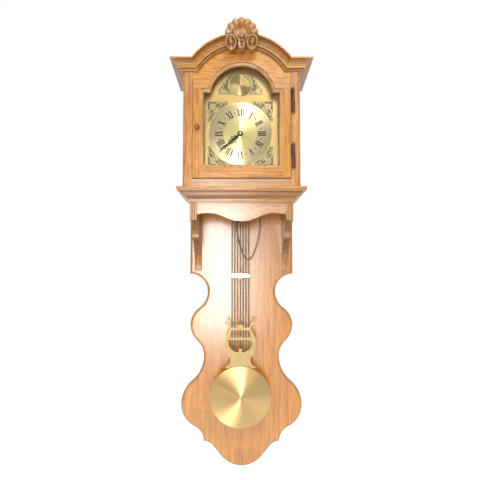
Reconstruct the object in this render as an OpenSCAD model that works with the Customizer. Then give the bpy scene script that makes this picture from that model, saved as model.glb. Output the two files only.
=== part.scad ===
// Wall-hung hooded clock with a scroll-cut backboard, arched hood, glazed door and gridiron pendulum.
// Sizes are in millimetres, +Z is up, +X is to the viewer's right and the front faces -Y.
// The origin is the centre of the hanging hole at the wall. Heights named *_z are measured from the
// lowest point of the backboard, and depths named *_d from the backboard's front face towards the room.

/* [Backboard] */
// Thickness of the backboard
board_t = 18; // [14:1:24]
// Radius of the rounded front edge
board_round = 7; // [4:0.5:8]
// How far the straight sides between the brackets stand inside the hood's sides
board_in = 2.5; // [0:0.5:5]
// Half-width at the upper waist
upper_waist_hw = 96.5; // [90:0.5:104]
// Height of the upper waist
upper_waist_z = 486; // [478:1:492]
// Half-width at the middle bulge
bulge_hw = 145.5; // [135:0.5:152]
// Height of the middle bulge
bulge_z = 391.5; // [384:0.5:398]
// Half-width at the lower waist
lower_waist_hw = 107; // [100:0.5:114]
// Height of the lower waist
lower_waist_z = 303; // [296:1:310]
// Half-width of the big bottom lobe
lobe_hw = 171; // [160:1:180]
// Height of the widest point of the lobe
lobe_z = 168; // [160:1:176]
// Half-width at the cusps of the tail
cusp_hw = 106.5; // [100:0.5:112]
// Height of the cusps of the tail
cusp_z = 67; // [62:1:72]
// Radius of the rounded tip of the tail
tail_r = 74; // [66:1:80]
// Slope of the sides of the tail, in degrees
tail_slope = 50; // [46:1:52]
// Radius of the hollow below each cusp
cusp_r = 34; // [28:1:38]
// Radius of the hanging hole
hang_r = 5; // [3:0.5:6]
// Height of the hanging hole
hang_z = 1060; // [1040:1:1080]

/* [Console] */
// Height of the underside of the console moulding
console_z = 721; // [700:1:740]
// Height of the console moulding
console_h = 36; // [30:1:42]
// Projection of the console moulding beyond the brackets' front
console_out = 31; // [28:1:33]
// Thickness of each bracket
bracket_t = 18; // [14:1:22]
// How far the outsides of the brackets stand inside the hood's sides
bracket_in = 17.5; // [16:0.5:23]
// Height of each bracket
bracket_h = 176; // [160:1:190]
// How far the brackets' front stands behind the hood's front
bracket_back = 19; // [17:1:24]
// Thickness of the apron
apron_t = 12; // [8:1:16]
// Depth of the apron at the middle
apron_h = 48; // [42:1:52]
// Thickness of the seat board
seat_t = 13; // [10:1:18]
// Height of the top of the seat board above the hood's foot
seat_rise = 88; // [86:1:90]

/* [Hood] */
// Half-width over the hood's sides
hood_hw = 149.5; // [147:0.5:152]
// Height of the hood's frame, from its foot to the cornice
hood_h = 294.5; // [288:0.5:300]
// Depth of the hood's front face
hood_d = 172; // [170:1:176]
// Thickness of each hood side
side_t = 14; // [10:1:15]
// Width of each front stile
stile_w = 24; // [20:1:26]
// Thickness of each front stile
stile_t = 22; // [20:1:24]
// Radius of the rounded outer corner of each stile
stile_round = 10; // [4:1:12]
// Height of the bottom rail
hood_rail_h = 21; // [16:1:24]
// Step from the stiles' faces back to the tympanum
tympanum_step = 3; // [2:0.5:5]
// Inner radius of the cornice's arch
arch_r = 128; // [124:1:130]
// Distance of the arch's centre below the cornice
arch_drop = 65.5; // [62:0.5:68]
// Height of the cornice
cornice_h = 29; // [26:0.5:32]
// Projection of the cornice
cornice_out = 30; // [27:0.5:33]
// Thickness of the roof
roof_t = 4; // [3:0.5:6]
// Distance from the foot of the cornice profile to the top of the roof
roof_rise = 22; // [18:0.5:25]

/* [Crest] */
// Outer radius of the shell
shell_r = 42.5; // [38:0.5:46]
// Number of ribs on the shell
shell_ribs = 9; // [7:2:11]
// Gap between the carving's foot and the top of the opening door
crest_clear = 0.6; // [0.4:0.2:3]
// Thickness of the carving
crest_t = 11; // [8:0.5:14]

/* [Door] */
// Width of each door stile, without the glass bead
door_stile_w = 21; // [18:0.5:23]
// Thickness of the door
door_t = 18; // [16:0.5:20]
// How far the door stands proud of the hood's stiles
door_proud = 4; // [2:0.5:5]
// Gap between the door and its frame
door_gap = 1.4; // [1:0.1:2]
// Height of the door's bottom rail
door_rail_h = 27.5; // [22:0.5:32]
// Height of the door's shoulders above the hood's foot
door_shoulder = 275; // [270:0.5:277]
// Outer radius of the door's arched head
door_arch_r = 101; // [99:0.5:102]
// Height of the door arch's centre above the hood's foot
door_arch_rise = 234; // [230:0.5:236]
// Width of the wood between the door's arch and its glass opening
door_head_w = 15; // [13:0.5:17]
// Width of the bead round the glass
bead_w = 7.5; // [5:0.5:9]
// Thickness of the glass
glass_t = 3; // [2:0.5:4]
// Length of each hinge barrel
hinge_l = 60; // [50:1:66]
// Radius of each hinge barrel
hinge_r = 4.2; // [3.5:0.1:4.5]
// Radius of each hinge pin
hinge_pin_r = 1.6; // [1.2:0.1:2]
// Radius of the door knob
knob_r = 6.5; // [5:0.5:8]
// Height of the door knob above the hood's foot
knob_rise = 150; // [130:1:170]

/* [Dial] */
// Width of the dial
dial_w = 195; // [190:1:198]
// Radius of the dial's arch
dial_arch_r = 78; // [76:0.5:79]
// Height of the dial's lower edge above the hood's foot
dial_rise = 46.5; // [46.5:0.5:50]
// Thickness of the dial plate
dial_t = 2; // [1.5:0.1:2.5]
// Distance from the hood's front face back to the back of the dial plate
dial_back = 32; // [31:0.5:33]
// Sideways place of the works and the dial
works_x = -3; // [-4:0.5:4]
// Outer radius of the chapter ring
chapter_r = 82; // [78:0.5:84]
// Inner radius of the chapter ring
chapter_in_r = 44.5; // [42:0.5:48]
// Radius of the boss in the arch
boss_r = 29.4; // [26:0.2:31]
// Length of the minute hand
minute_l = 73; // [68:1:76]
// Length of the hour hand
hour_l = 49; // [44:1:54]

/* [Movement] */
// Width of the movement's plates
plate_w = 172; // [168:1:176]
// Height of the movement's plates
plate_h = 178; // [176:1:182]
// Thickness of each plate
plate_t = 3; // [2:0.5:3]
// Distance from the back of the dial plate to the front plate
dial_gap = 11; // [10.5:0.5:12]
// Distance over the outsides of the two plates
plates_depth = 67; // [66:0.5:67.5]
// Teeth of the great wheel
great_teeth = 96; // [96:12:96]
// Module of the great wheel
great_m = 0.85; // [0.84:0.005:0.86]
// Teeth of the centre wheel
centre_teeth = 72; // [72:1:72]
// Module of the centre wheel
centre_m = 0.7; // [0.68:0.01:0.72]
// Teeth of the third wheel
third_teeth = 63; // [63:1:63]
// Module of the third wheel
third_m = 0.62; // [0.6:0.01:0.64]
// Teeth of the escape wheel
escape_teeth = 30; // [30:1:30]
// Radius of the escape wheel
escape_r = 17.5; // [17:0.1:18]
// Thickness of the wheels
wheel_t = 2.4; // [1.6:0.1:3]
// Radius of the plain arbors
arbor_r = 1.5; // [1.2:0.1:1.8]
// Pitch radius of the chain on its wheel
chain_wheel_r = 14; // [13.5:0.1:14.5]

/* [Pendulum] */
// Distance from the back plate to the plane in which the pendulum swings
pendulum_back = 7; // [6.5:0.1:7.5]
// Radius of the pendulum's bob
bob_r = 82.5; // [76:0.5:84]
// Height of the bob's centre
bob_z = 205.5; // [203:0.5:207]
// Rise of the bob's face from rim to centre
bob_rise = 6; // [4:0.5:8]
// Number of rods in the gridiron
rod_count = 7; // [3:2:7]
// Distance between neighbouring rods
rod_pitch = 7.6; // [7:0.1:7.8]
// Radius of each rod
rod_r = 1.6; // [1.4:0.1:2]
// Thickness of the lyre
lyre_t = 3; // [2:0.5:4]

/* [Chain] */
// Distance between the centres of neighbouring links
link_pitch = 6.4; // [6.2:0.1:6.6]
// Diameter of the links' wire
link_wire = 1.3; // [1.1:0.1:1.3]
// Outer width of a link
link_w = 5.2; // [5:0.1:5.6]
// Sideways place of the chain's outer run
chain_x = 54; // [53.5:0.1:54.5]
// Sideways place of the end that hangs from the seat board's hook
loop_end_x = -14; // [-15:0.5:-13]

/* [Hidden] */
$fn = 48;

// Clearance between pieces that slide or turn on each other
running = 0.05;
// Clearance between pieces that are seated beside each other
seated = 0.3;
// Small overlap that joins the shapes of one piece
weld = 0.01;

// Heights and depths that the pieces share
board_hw = hood_hw - board_in;
bracket_hw = hood_hw - bracket_in;
bracket_d = hood_d - bracket_back;
dial_d = hood_d - dial_back;
front_plate_d = dial_d - dial_gap;
back_plate_d = front_plate_d - plates_depth;
pendulum_d = back_plate_d - pendulum_back;
shoulder_z = upper_waist_z + (board_hw - upper_waist_hw);
hood_z = console_z + console_h;
cornice_z = hood_z + hood_h;
arch_z = cornice_z - arch_drop;
roof_z = cornice_z + roof_rise;
roof_r = arch_r + roof_rise;
stile_in = hood_hw - stile_w;
side_in = hood_hw - side_t;
stile_back_d = hood_d - stile_t;
face_d = hood_d - tympanum_step;
seat_z = hood_z + seat_rise;
cheek_d = stile_back_d;

// Upper part of the backboard, inside the hood
board_fit = 1;
inner_board_hw = side_in - board_fit;
inner_board_z = roof_z - roof_t - board_fit;
inner_board_r = roof_r - roof_t - board_fit;

// Door and its glass opening
door_hw = stile_in - door_gap;
door_z = hood_z + hood_rail_h + door_gap;
door_d = hood_d + door_proud;
door_back_d = door_d - door_t;
door_shoulder_z = hood_z + door_shoulder;
door_arch_z = hood_z + door_arch_rise;
door_head_end = 26;
door_head_z = door_shoulder_z - door_head_end;
opening_hw = door_hw - door_stile_w;
opening_z = door_z + door_rail_h;
opening_drop = 24.5;
opening_shoulder_z = door_shoulder_z - opening_drop;
opening_r = door_arch_r - door_head_w;
bead_set = 6;
bead_back_d = door_back_d + bead_set;
bead_front_d = bead_back_d + bead_w;
glass_d = bead_back_d - glass_t;
hinge_off = 5;
hinge_lift = 0.8;
hinge_low = 77.5;
hinge_high = 219.5;
hinge_x = stile_in + hinge_off;
hinge_d = hood_d + hinge_r + hinge_lift;
hinge_zs = [hood_z + hinge_low, hood_z + hinge_high];
knob_x = -door_hw + door_stile_w / 2 + 1;
knob_z = hood_z + knob_rise;

// Dial
dial_z0 = hood_z + dial_rise;
dial_z = dial_z0 + dial_w / 2;
dial_arch_z = dial_z0 + dial_w;
dial_face_d = dial_d + dial_t;
chapter_t = 1.2;
chapter_rim_t = 2.2;
chapter_rim_w = 2;
centre_t = 0.8;
spandrel_ground_t = 0.8;
spandrel_t = 2.2;
boss_rise = 31;
boss_z = dial_arch_z + boss_rise;
hand_hole_r = 5;
rest_minute_deg = 228.5;
rest_hour_deg = 229;

// Movement: arbor places are measured from the dial's centre, across and up
pinion_leaves = 8;
train_gap = 0.25;
great_at_x = chain_x - chain_wheel_r - works_x;
great_reach = great_m * (great_teeth + pinion_leaves) / 2;
great_at = [great_at_x, -sqrt(great_reach * great_reach - great_at_x * great_at_x)];
third_reach = centre_m * (centre_teeth + pinion_leaves) / 2;
third_bearing = 120;
third_at = third_reach * [cos(third_bearing), sin(third_bearing)];
escape_reach = third_m * (third_teeth + pinion_leaves) / 2;
escape_at = [0, third_at[1] + sqrt(escape_reach * escape_reach - third_at[0] * third_at[0])];
pallet_rise = escape_r * sqrt(2);
pivot_at = escape_at + [0, pallet_rise];
pivot_z = dial_z + pivot_at[1];
plates_z = seat_z;
plate_low = plates_z - dial_z;
plate_inner_d = back_plate_d + plate_t;
plate_outer_d = front_plate_d - plate_t;
pillar_inset = 10;
pillar_r = 4;
pillar_at = [
    for (sx = [-1, 1], y = [plate_low + pillar_inset, plate_low + plate_h - pillar_inset])
        [sx * (plate_w / 2 - pillar_inset), y]
];
pivot_r = 0.9;
centre_arbor_r = 2.2;
pipe_r = 3.4;
chain_wheel_off = 4;
chain_wheel_d = plate_inner_d + chain_wheel_off;
chain_flange_t = 0.8;
chain_gap = 6.2;
great_wheel_off = 11;
wheel_step = 9;
great_wheel_d = plate_inner_d + great_wheel_off;
centre_wheel_d = great_wheel_d + wheel_step;
third_wheel_d = centre_wheel_d + wheel_step;
escape_wheel_d = third_wheel_d + wheel_step;
motion_m = 0.6;
cannon_teeth = 14;
minute_wheel_teeth = 42;
motion_reach = motion_m * (cannon_teeth + minute_wheel_teeth) / 2;
minute_pinion_teeth = 12;
hour_wheel_teeth = 48;
hour_m = 2 * motion_reach / (minute_pinion_teeth + hour_wheel_teeth);
motion_bearing = 215;
motion_at = motion_reach * [cos(motion_bearing), sin(motion_bearing)];
cannon_gap = 1;
cannon_h = 4;
hand_gap = 3;
cannon_d = front_plate_d + cannon_gap;
hour_wheel_d = cannon_d + cannon_h;
hour_hand_d = dial_face_d + hand_gap;
minute_hand_d = hour_hand_d + hand_gap;
hand_t = 1;

// Pendulum
spring_l = 14;
leader_t = 3;
gridiron_drop = 32;
gridiron_z = seat_z - gridiron_drop;
clip_z = 527;
clip_h = 10;
lyre_z = bob_z + bob_r;
rod_span = (rod_count - 1) * rod_pitch;
bob_d = pendulum_d + rod_r + seated;

// Outline helpers. Heights are measured from the tip of the backboard, so each helper that places
// a shape in space takes off the height of the hanging hole, where the origin lies.
function mirrored(points) =
    concat(points, [for (i = [len(points) - 1:-1:0]) [-points[i][0], points[i][1]]]);
function arc(centre, radius, from, to, steps) =
    [for (i = [0:steps]) let (a = from + (to - from) * i / steps) centre + radius * [cos(a), sin(a)]];
// Two tangent arcs that join two points, both upright at their ends, going down from a to b
function swing(a, b, share, steps) =
    let (
        dx = b[0] - a[0], dz = a[1] - b[1], turn = 2 * atan(abs(dx) / dz),
        total = (dx * dx + dz * dz) / (2 * abs(dx)), r1 = total * share, r2 = total - r1,
        s = dx > 0 ? 1 : -1
    )
    concat(
        [for (i = [1:steps]) let (t = turn * i / steps)
            [a[0] + s * r1 * (1 - cos(t)), a[1] - r1 * sin(t)]],
        [for (i = [steps - 1:-1:0]) let (t = turn * i / steps)
            [b[0] - s * r2 * (1 - cos(t)), b[1] + r2 * sin(t)]]
    );
// A smooth curve through a list of points
function spline(p, steps) = concat(
    [for (i = [0:len(p) - 2], k = [0:steps - 1])
        let (
            t = k / steps, q0 = p[max(i - 1, 0)], q1 = p[i], q2 = p[i + 1],
            q3 = p[min(i + 2, len(p) - 1)]
        )
        0.5 * (2 * q1 + (q2 - q0) * t + (2 * q0 - 5 * q1 + 4 * q2 - q3) * t * t
            + (3 * q1 - q0 - 3 * q2 + q3) * t * t * t)],
    [p[len(p) - 1]]
);

// Outline of a tapering stroke along a smooth curve through a few points
function stroke(p, from_w, to_w) =
    let (
        q = spline(p, 4), n = len(q) - 1,
        side = [for (i = [0:n]) let (t = unit(q[min(i + 1, n)] - q[max(i - 1, 0)]))
            [-t[1], t[0]] * (from_w + (to_w - from_w) * i / n) / 2]
    )
    concat([for (i = [0:n]) q[i] + side[i]], [for (i = [n:-1:0]) q[i] - side[i]]);

// Places a shape drawn face on, with its own z pointing towards the room
module facing(x, d, z) { translate([x, -(board_t + d), z - hang_z]) rotate([90, 0, 0]) children(); }
module front(d0, d1) { facing(0, d0, 0) linear_extrude(height = d1 - d0) children(); }
module works(d) { facing(works_x, d, dial_z) children(); }
// Extrudes a side view, drawn as depth and height, from x0 to x1
module across(x0, x1) {
    translate([x1, -board_t, -hang_z]) rotate([90, 0, -90]) linear_extrude(height = x1 - x0) children();
}
// A plain block between two sides, two depths and two heights
module block(x0, x1, d0, d1, z0, z1) {
    translate([x0, -(board_t + d1), z0 - hang_z]) cube([x1 - x0, d1 - d0, z1 - z0]);
}
module both_sides() { children(); mirror([1, 0, 0]) children(); }

// Backboard
board_steps = 7;
tip_step = tail_slope / 8;
board_edge = concat(
    [[board_hw, hood_z], [board_hw, shoulder_z]],
    [for (i = [1:8]) let (a = 90 * i / 8)
        [board_hw - (board_hw - upper_waist_hw) * sin(a),
         upper_waist_z + (board_hw - upper_waist_hw) * cos(a)]],
    swing([upper_waist_hw, upper_waist_z], [bulge_hw, bulge_z], 0.5, board_steps),
    swing([bulge_hw, bulge_z], [lower_waist_hw, lower_waist_z], 0.5, board_steps),
    swing([lower_waist_hw, lower_waist_z], [lobe_hw, lobe_z], 0.5, board_steps),
    swing([lobe_hw, lobe_z], [cusp_hw, cusp_z], 0.6, board_steps),
    [for (i = [1:6]) let (a = tail_slope * i / 6)
        [cusp_hw - cusp_r * sin(a), cusp_z - cusp_r + cusp_r * cos(a)]],
    [for (i = [0:7]) let (a = tail_slope - tip_step * i)
        [tail_r * sin(a), tail_r * (1 - cos(a))]],
    [[tail_r * sin(tip_step / 2), 0]]
);
board_n = len(board_edge);
cusp_i = 2 + 7 + 1 + 8 * board_steps - 1;
shoulder_i = 1;
function unit(v) = v / norm(v);
// A point of the edge moved inwards by t along the mean of its two sides' normals
function inset(i, t) =
    let (
        p = board_edge[i], last = board_n - 1,
        before = i == 0 ? unit(board_edge[1] - p) : unit(p - board_edge[i - 1]),
        after = i == last ? [-1, 0] : unit(board_edge[i + 1] - p),
        n1 = [before[1], -before[0]], n2 = [after[1], -after[0]],
        q = p + t * (n1 + n2) / (1 + n1 * n2)
    )
    i == last ? [p[0], p[1] + t] : [min(q[0], i > cusp_i ? board_edge[cusp_i][0] - t : q[0]),
        i > shoulder_i && i < cusp_i - board_steps ? min(q[1], shoulder_z + t - weld) : q[1]];
round_steps = 4;
// Rings of the board's edge from back to front: inset and depth from the wall
board_rings = concat(
    [[0, 0]],
    [for (k = [0:round_steps]) let (a = 90 * k / round_steps)
        [board_round * (1 - cos(a)), board_t - board_round + board_round * sin(a)]]
);
module lower_board() {
    rings = len(board_rings);
    side = board_n * rings;
    left = [for (i = [0:board_n - 1], r = board_rings) let (q = inset(i, r[0]))
        [-q[0], -r[1], q[1] - hang_z]];
    right = [for (p = left) [-p[0], p[1], p[2]]];
    function at(i, k) = i * rings + k;
    edge = [for (i = [0:board_n - 2], k = [0:rings - 2])
        [at(i, k), at(i, k + 1), at(i + 1, k + 1), at(i + 1, k)]];
    other_edge = [for (f = edge) [for (j = [3:-1:0]) f[j] + side]];
    last = rings - 1;
    faces = [for (i = [0:board_n - 2])
        [at(i, last), at(i, last) + side, at(i + 1, last) + side, at(i + 1, last)]];
    backs = [for (i = [0:board_n - 2])
        [at(i, 0), at(i + 1, 0), at(i + 1, 0) + side, at(i, 0) + side]];
    top = [concat([for (k = [0:last]) at(0, last - k)], [for (k = [0:last]) at(0, k) + side])];
    bottom = [for (k = [0:rings - 2])
        [at(board_n - 1, k), at(board_n - 1, k + 1), at(board_n - 1, k + 1) + side,
         at(board_n - 1, k) + side]];
    polyhedron(points = concat(left, right), faces = concat(edge, other_edge, faces, backs, top, bottom));
}
module backboard() {
    color("peru") difference() {
        union() {
            lower_board();
            front(-board_t, 0) {
                translate([-inner_board_hw, hood_z]) square([2 * inner_board_hw, inner_board_z - hood_z]);
                intersection() {
                    translate([0, arch_z]) circle(r = inner_board_r, $fn = 96);
                    translate([-inner_board_hw, cornice_z]) square(2 * inner_board_hw);
                }
            }
        }
        facing(0, -board_t - 1, hang_z) cylinder(r = hang_r, h = board_t + 2);
    }
}

// Moulding profiles: x is the projection from the face behind, y the height from the profile's foot
profile_steps = 6;
// A hollow that starts upright and ends level
function hollow(x, y, w, h) =
    [for (i = [0:profile_steps]) let (a = 90 * i / profile_steps) [x + w * (1 - cos(a)), y + h * sin(a)]];
// A round that starts level and ends upright
function ovolo(x, y, w, h) =
    [for (i = [0:profile_steps]) let (a = 90 * i / profile_steps) [x + w * sin(a), y + h * (1 - cos(a))]];
function fitted(points, w, h, drawn_w, drawn_h) =
    [for (p = points) [p[0] * w / drawn_w, p[1] * h / drawn_h]];
console_profile = fitted(concat(
    [[0, 0], [4, 0], [4, 4]], hollow(4.6, 4, 8.4, 8.5), ovolo(13, 13.5, 4.5, 4.5),
    [[21, 18], [21, 23]], ovolo(24, 23, 6, 6), [[31, 29], [31, 36], [0, 36]]
), console_out, console_h, 31, 36);
cornice_profile = fitted(concat(
    [[0, 0], [2.5, 0], [2.5, 2]], ovolo(3.5, 2, 4, 4), [[9, 6], [9, 8.2], [12.5, 8.2], [12.5, 14]],
    hollow(13.5, 14, 14.5, 11.5), [[30, 25.5], [30, 29], [0, 29]]
), cornice_out, cornice_h, 30, 29);

// Region in front of both mitre lines of a moulding that turns two corners
module mitre_front(hw, d, out, z, h) {
    translate([0, -board_t, z - hang_z - 1]) linear_extrude(height = h + 2)
        polygon([[-hw - out - 1, -d - out - 1], [hw + out + 1, -d - out - 1], [hw, -d], [-hw, -d]]);
}
// Region beside the mitre line, back to depth back_d
module mitre_side(hw, d, out, z, h, back_d) {
    translate([0, -board_t, z - hang_z - 1]) linear_extrude(height = h + 2)
        polygon([[hw, -back_d], [hw + out + 1, -back_d], [hw + out + 1, -d - out - 1], [hw, -d]]);
}
module moulding_front(points, hw, d, out, z, h) {
    intersection() {
        across(-hw - out, hw + out) translate([d, z]) polygon(points);
        mitre_front(hw, d, out, z, h);
    }
}
module moulding_return(points, hw, d, out, z, h, back_d) {
    intersection() {
        facing(0, back_d, 0) linear_extrude(height = d + out - back_d) translate([hw, z]) polygon(points);
        mitre_side(hw, d, out, z, h, back_d);
    }
}

// Console
bracket_nose = 46;
bracket_step = 86;
bracket_step_d = 87;
bracket_foot_d = 16;
reed_w = 2.4;
reed_t = 1.2;
// Side view of a bracket: a straight front, two hollow curves and a small step between them
bracket_side = concat(
    [[0, console_z], [bracket_d, console_z]],
    [for (i = [0:8]) let (a = 90 * i / 8)
        [bracket_d - (bracket_d - bracket_step_d - 8) * sin(a),
         console_z - bracket_step + (bracket_step - bracket_nose) * cos(a)]],
    [for (i = [0:8]) let (a = 90 * i / 8)
        [bracket_step_d - (bracket_step_d - bracket_foot_d) * sin(a),
         console_z - bracket_h + (bracket_h - bracket_step - 6) * cos(a)]],
    [[0, console_z - bracket_h]]
);
apron_hw = bracket_hw - bracket_t;
module bracket() {
    difference() {
        across(apron_hw, bracket_hw) polygon(bracket_side);
        for (k = [1, 2])
            block(apron_hw + bracket_t * k / 3 - reed_w / 2, apron_hw + bracket_t * k / 3 + reed_w / 2,
                bracket_d - reed_t, bracket_d + 1, console_z - bracket_nose, console_z + 1);
    }
}
module bracket_right() { color("peru") bracket(); }
module bracket_left() { color("peru") mirror([1, 0, 0]) bracket(); }

// Lower edge of the apron from the middle outwards, as shares of its half-width and its depth
apron_edge = spline([
    for (p = [[0, 1], [0.14, 0.975], [0.22, 0.925], [0.335, 0.82], [0.47, 0.685], [0.6, 0.585], [0.74, 0.55],
        [0.88, 0.57], [1, 0.635]]) [apron_hw * p[0], console_z - apron_h * p[1]]
], 3);
apron_set_back = 5;
// Rounding of the apron's lower front edge: how far each layer of its face steps up, and its thickness
apron_steps = [0, 1.2, 3, 6];
apron_layer_t = 1.6;
module apron() {
    face = bracket_d - apron_set_back;
    n = len(apron_steps) - 1;
    color("peru") for (k = [0:n])
        front(k == 0 ? face - apron_t : face - (n - k + 1) * apron_layer_t - weld,
            face - (n - k) * apron_layer_t)
            polygon(concat(
                [[-apron_hw, console_z]],
                [for (i = [len(apron_edge) - 1:-1:1]) [-apron_edge[i][0], apron_edge[i][1] + apron_steps[k]]],
                [for (e = apron_edge) [e[0], e[1] + apron_steps[k]]], [[apron_hw, console_z]]
            ));
}
module console_moulding_front() {
    color("peru")
        moulding_front(console_profile, bracket_hw, bracket_d, console_out, console_z, console_h);
}
module console_returns() {
    color("peru") both_sides()
        moulding_return(console_profile, bracket_hw, bracket_d, console_out, console_z, console_h, 0);
}
// The cheeks stand on the brackets and carry the seat board
module seat_cheeks() {
    color("burlywood") both_sides()
        block(apron_hw, bracket_hw, 0, cheek_d, console_z, seat_z - seat_t);
}
pendulum_slot_hw = 34;
chain_slot_w = 13;
chain_free_x = chain_x - 2 * chain_wheel_r;
module seat_board() {
    color("burlywood") difference() {
        block(-inner_board_hw, inner_board_hw, 0, dial_d - 2, seat_z - seat_t, seat_z);
        block(works_x - pendulum_slot_hw, works_x + pendulum_slot_hw, pendulum_d - 8, pendulum_d + 5,
            seat_z - seat_t - 1, seat_z + 1);
        for (x = [chain_free_x, chain_x])
            block(x - chain_slot_w / 2, x + chain_slot_w / 2, chain_wheel_d - 6, chain_wheel_d + 6,
                seat_z - seat_t - 1, seat_z + 1);
    }
}

// Hood
module hood_side() { block(side_in, hood_hw, -board_t, cheek_d, hood_z, roof_z - roof_t); }
module hood_side_right() { color("peru") hood_side(); }
module hood_side_left() { color("peru") mirror([1, 0, 0]) hood_side(); }
module hood_stile() {
    translate([0, 0, hood_z - hang_z]) linear_extrude(height = hood_h)
        translate([0, -board_t]) difference() {
            translate([stile_in, -hood_d]) square([stile_w, stile_t]);
            difference() {
                translate([hood_hw - stile_round, -hood_d - 1]) square(stile_round + 1);
                translate([hood_hw - stile_round, -hood_d + stile_round]) circle(r = stile_round);
            }
        }
}
module hood_stile_right() { color("peru") hood_stile(); }
module hood_stile_left() { color("peru") mirror([1, 0, 0]) hood_stile(); }
module hood_bottom_rail() {
    color("peru") block(-stile_in, stile_in, stile_back_d, face_d + 1, hood_z, hood_z + hood_rail_h);
}
module hood_tympanum() {
    color("peru") front(stile_back_d, face_d) difference() {
        union() {
            translate([-hood_hw, cornice_z]) square([2 * hood_hw, roof_rise]);
            translate([-stile_in, door_shoulder_z + door_gap])
                square([2 * stile_in, cornice_z + roof_rise - door_shoulder_z - door_gap]);
            intersection() {
                translate([0, arch_z]) circle(r = roof_r, $fn = 96);
                translate([-hood_hw, cornice_z]) square(2 * hood_hw);
            }
        }
        translate([0, door_arch_z]) circle(r = door_arch_r + door_gap, $fn = 96);
    }
}
module hood_roof() {
    color("burlywood") front(-board_t, stile_back_d) difference() {
        union() {
            translate([-hood_hw, roof_z - roof_t]) square([2 * hood_hw, roof_t]);
            intersection() {
                translate([0, arch_z]) circle(r = roof_r, $fn = 96);
                translate([-hood_hw, roof_z - roof_t]) square(2 * hood_hw);
            }
        }
        translate([0, arch_z]) circle(r = roof_r - roof_t, $fn = 96);
    }
}

// Cornice: the arch and the level lengths meet on a line through their inner and outer corners
mitre_in_x = sqrt(arch_r * arch_r - arch_drop * arch_drop);
mitre_out_x = sqrt(pow(arch_r + cornice_h, 2) - pow(arch_drop + cornice_h, 2));
module cornice_front() {
    color("peru") intersection() {
        moulding_front(cornice_profile, hood_hw, face_d, cornice_out, cornice_z, cornice_h);
        both_sides() front(face_d - 1, face_d + cornice_out + 1)
            polygon([
                [mitre_in_x, cornice_z], [mitre_out_x, cornice_z + cornice_h],
                [hood_hw + cornice_out + 1, cornice_z + cornice_h], [hood_hw + cornice_out + 1, cornice_z]
            ]);
    }
}
module cornice_arch() {
    reach = 4;
    dx = (mitre_out_x - mitre_in_x) * reach;
    color("peru") intersection() {
        facing(0, face_d, arch_z) rotate_extrude($fn = 96)
            polygon([for (p = cornice_profile) [arch_r + p[1], p[0]]]);
        front(face_d - 1, face_d + cornice_out + 1)
            polygon([
                [-mitre_in_x, cornice_z], [mitre_in_x, cornice_z],
                [mitre_in_x + dx, cornice_z + cornice_h * reach],
                [-mitre_in_x - dx, cornice_z + cornice_h * reach]
            ]);
    }
}
module cornice_returns() {
    color("peru") both_sides()
        moulding_return(cornice_profile, hood_hw, face_d, cornice_out, cornice_z, cornice_h, -board_t);
}

// Crest: each carved form is a relief on a flat back, about a point below or above the shell's centre
crest_back_d = face_d + cornice_out;
carving = shell_r / 42.5;
crest_foot = 44.4;
shell_z = door_arch_z + door_arch_r + crest_clear + carving * crest_foot;
// Closed relief: rings are shares of the outline's radius, tops their heights as shares of the carving's
// thickness with the middle last, and ribs how much each ring rises on a rib
module relief(x, y, tilt, spokes, rings, tops, radius, ribs = []) {
    n = spokes;
    m = len(rings);
    function at(j, i) = j * n + i % n;
    function top(a, j) = crest_t * (tops[j] + (j < len(ribs) ? ribs[j] * rib(a) : 0));
    pts = [for (j = [0:m - 1], i = [0:n - 1])
        let (a = 360 * i / n, r = radius(a, rings[j]) * rings[j]) [r * cos(a), r * sin(a), top(a, j)]];
    rim = [for (i = [0:n - 1]) let (a = 360 * i / n, r = radius(a, 1)) [r * cos(a), r * sin(a), 0]];
    middle = m * n + n;
    facing(x, crest_back_d, shell_z + y) rotate(tilt) polyhedron(
        points = concat(pts, rim, [[0, 0, top(0, m)], [0, 0, 0]]),
        faces = concat(
            [for (i = [0:n - 1]) [m * n + (i + 1) % n, m * n + i, at(0, i), at(0, i + 1)]],
            [for (j = [0:m - 2], i = [0:n - 1])
                [at(j, i + 1), at(j, i), at(j + 1, i), at(j + 1, i + 1)]],
            [for (i = [0:n - 1]) [at(m - 1, i + 1), at(m - 1, i), middle]],
            [for (i = [0:n - 1]) [m * n + i, m * n + (i + 1) % n, middle + 1]]
        )
    );
}
function oval(a, w, h) = w * h / sqrt(pow(h * cos(a), 2) + pow(w * sin(a), 2));
fan_deg = 240;
rib_deg = fan_deg / shell_ribs;
fan_start = 90 - fan_deg / 2;
function on_fan(a) = a <= 180 - fan_start || a >= 360 + fan_start;
function rib(a) = on_fan(a) ? abs(cos(180 * (a - 90) / rib_deg)) * (sin(a) > -0.1 ? 1 : 0.3) : 0;
volute_tilt = 8;
module oval_relief(x, y, tilt, spokes, w, h, rings, tops) {
    relief(carving * x, carving * y, tilt, spokes, rings, tops, function (a, share) carving * oval(a, w, h));
}
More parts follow.
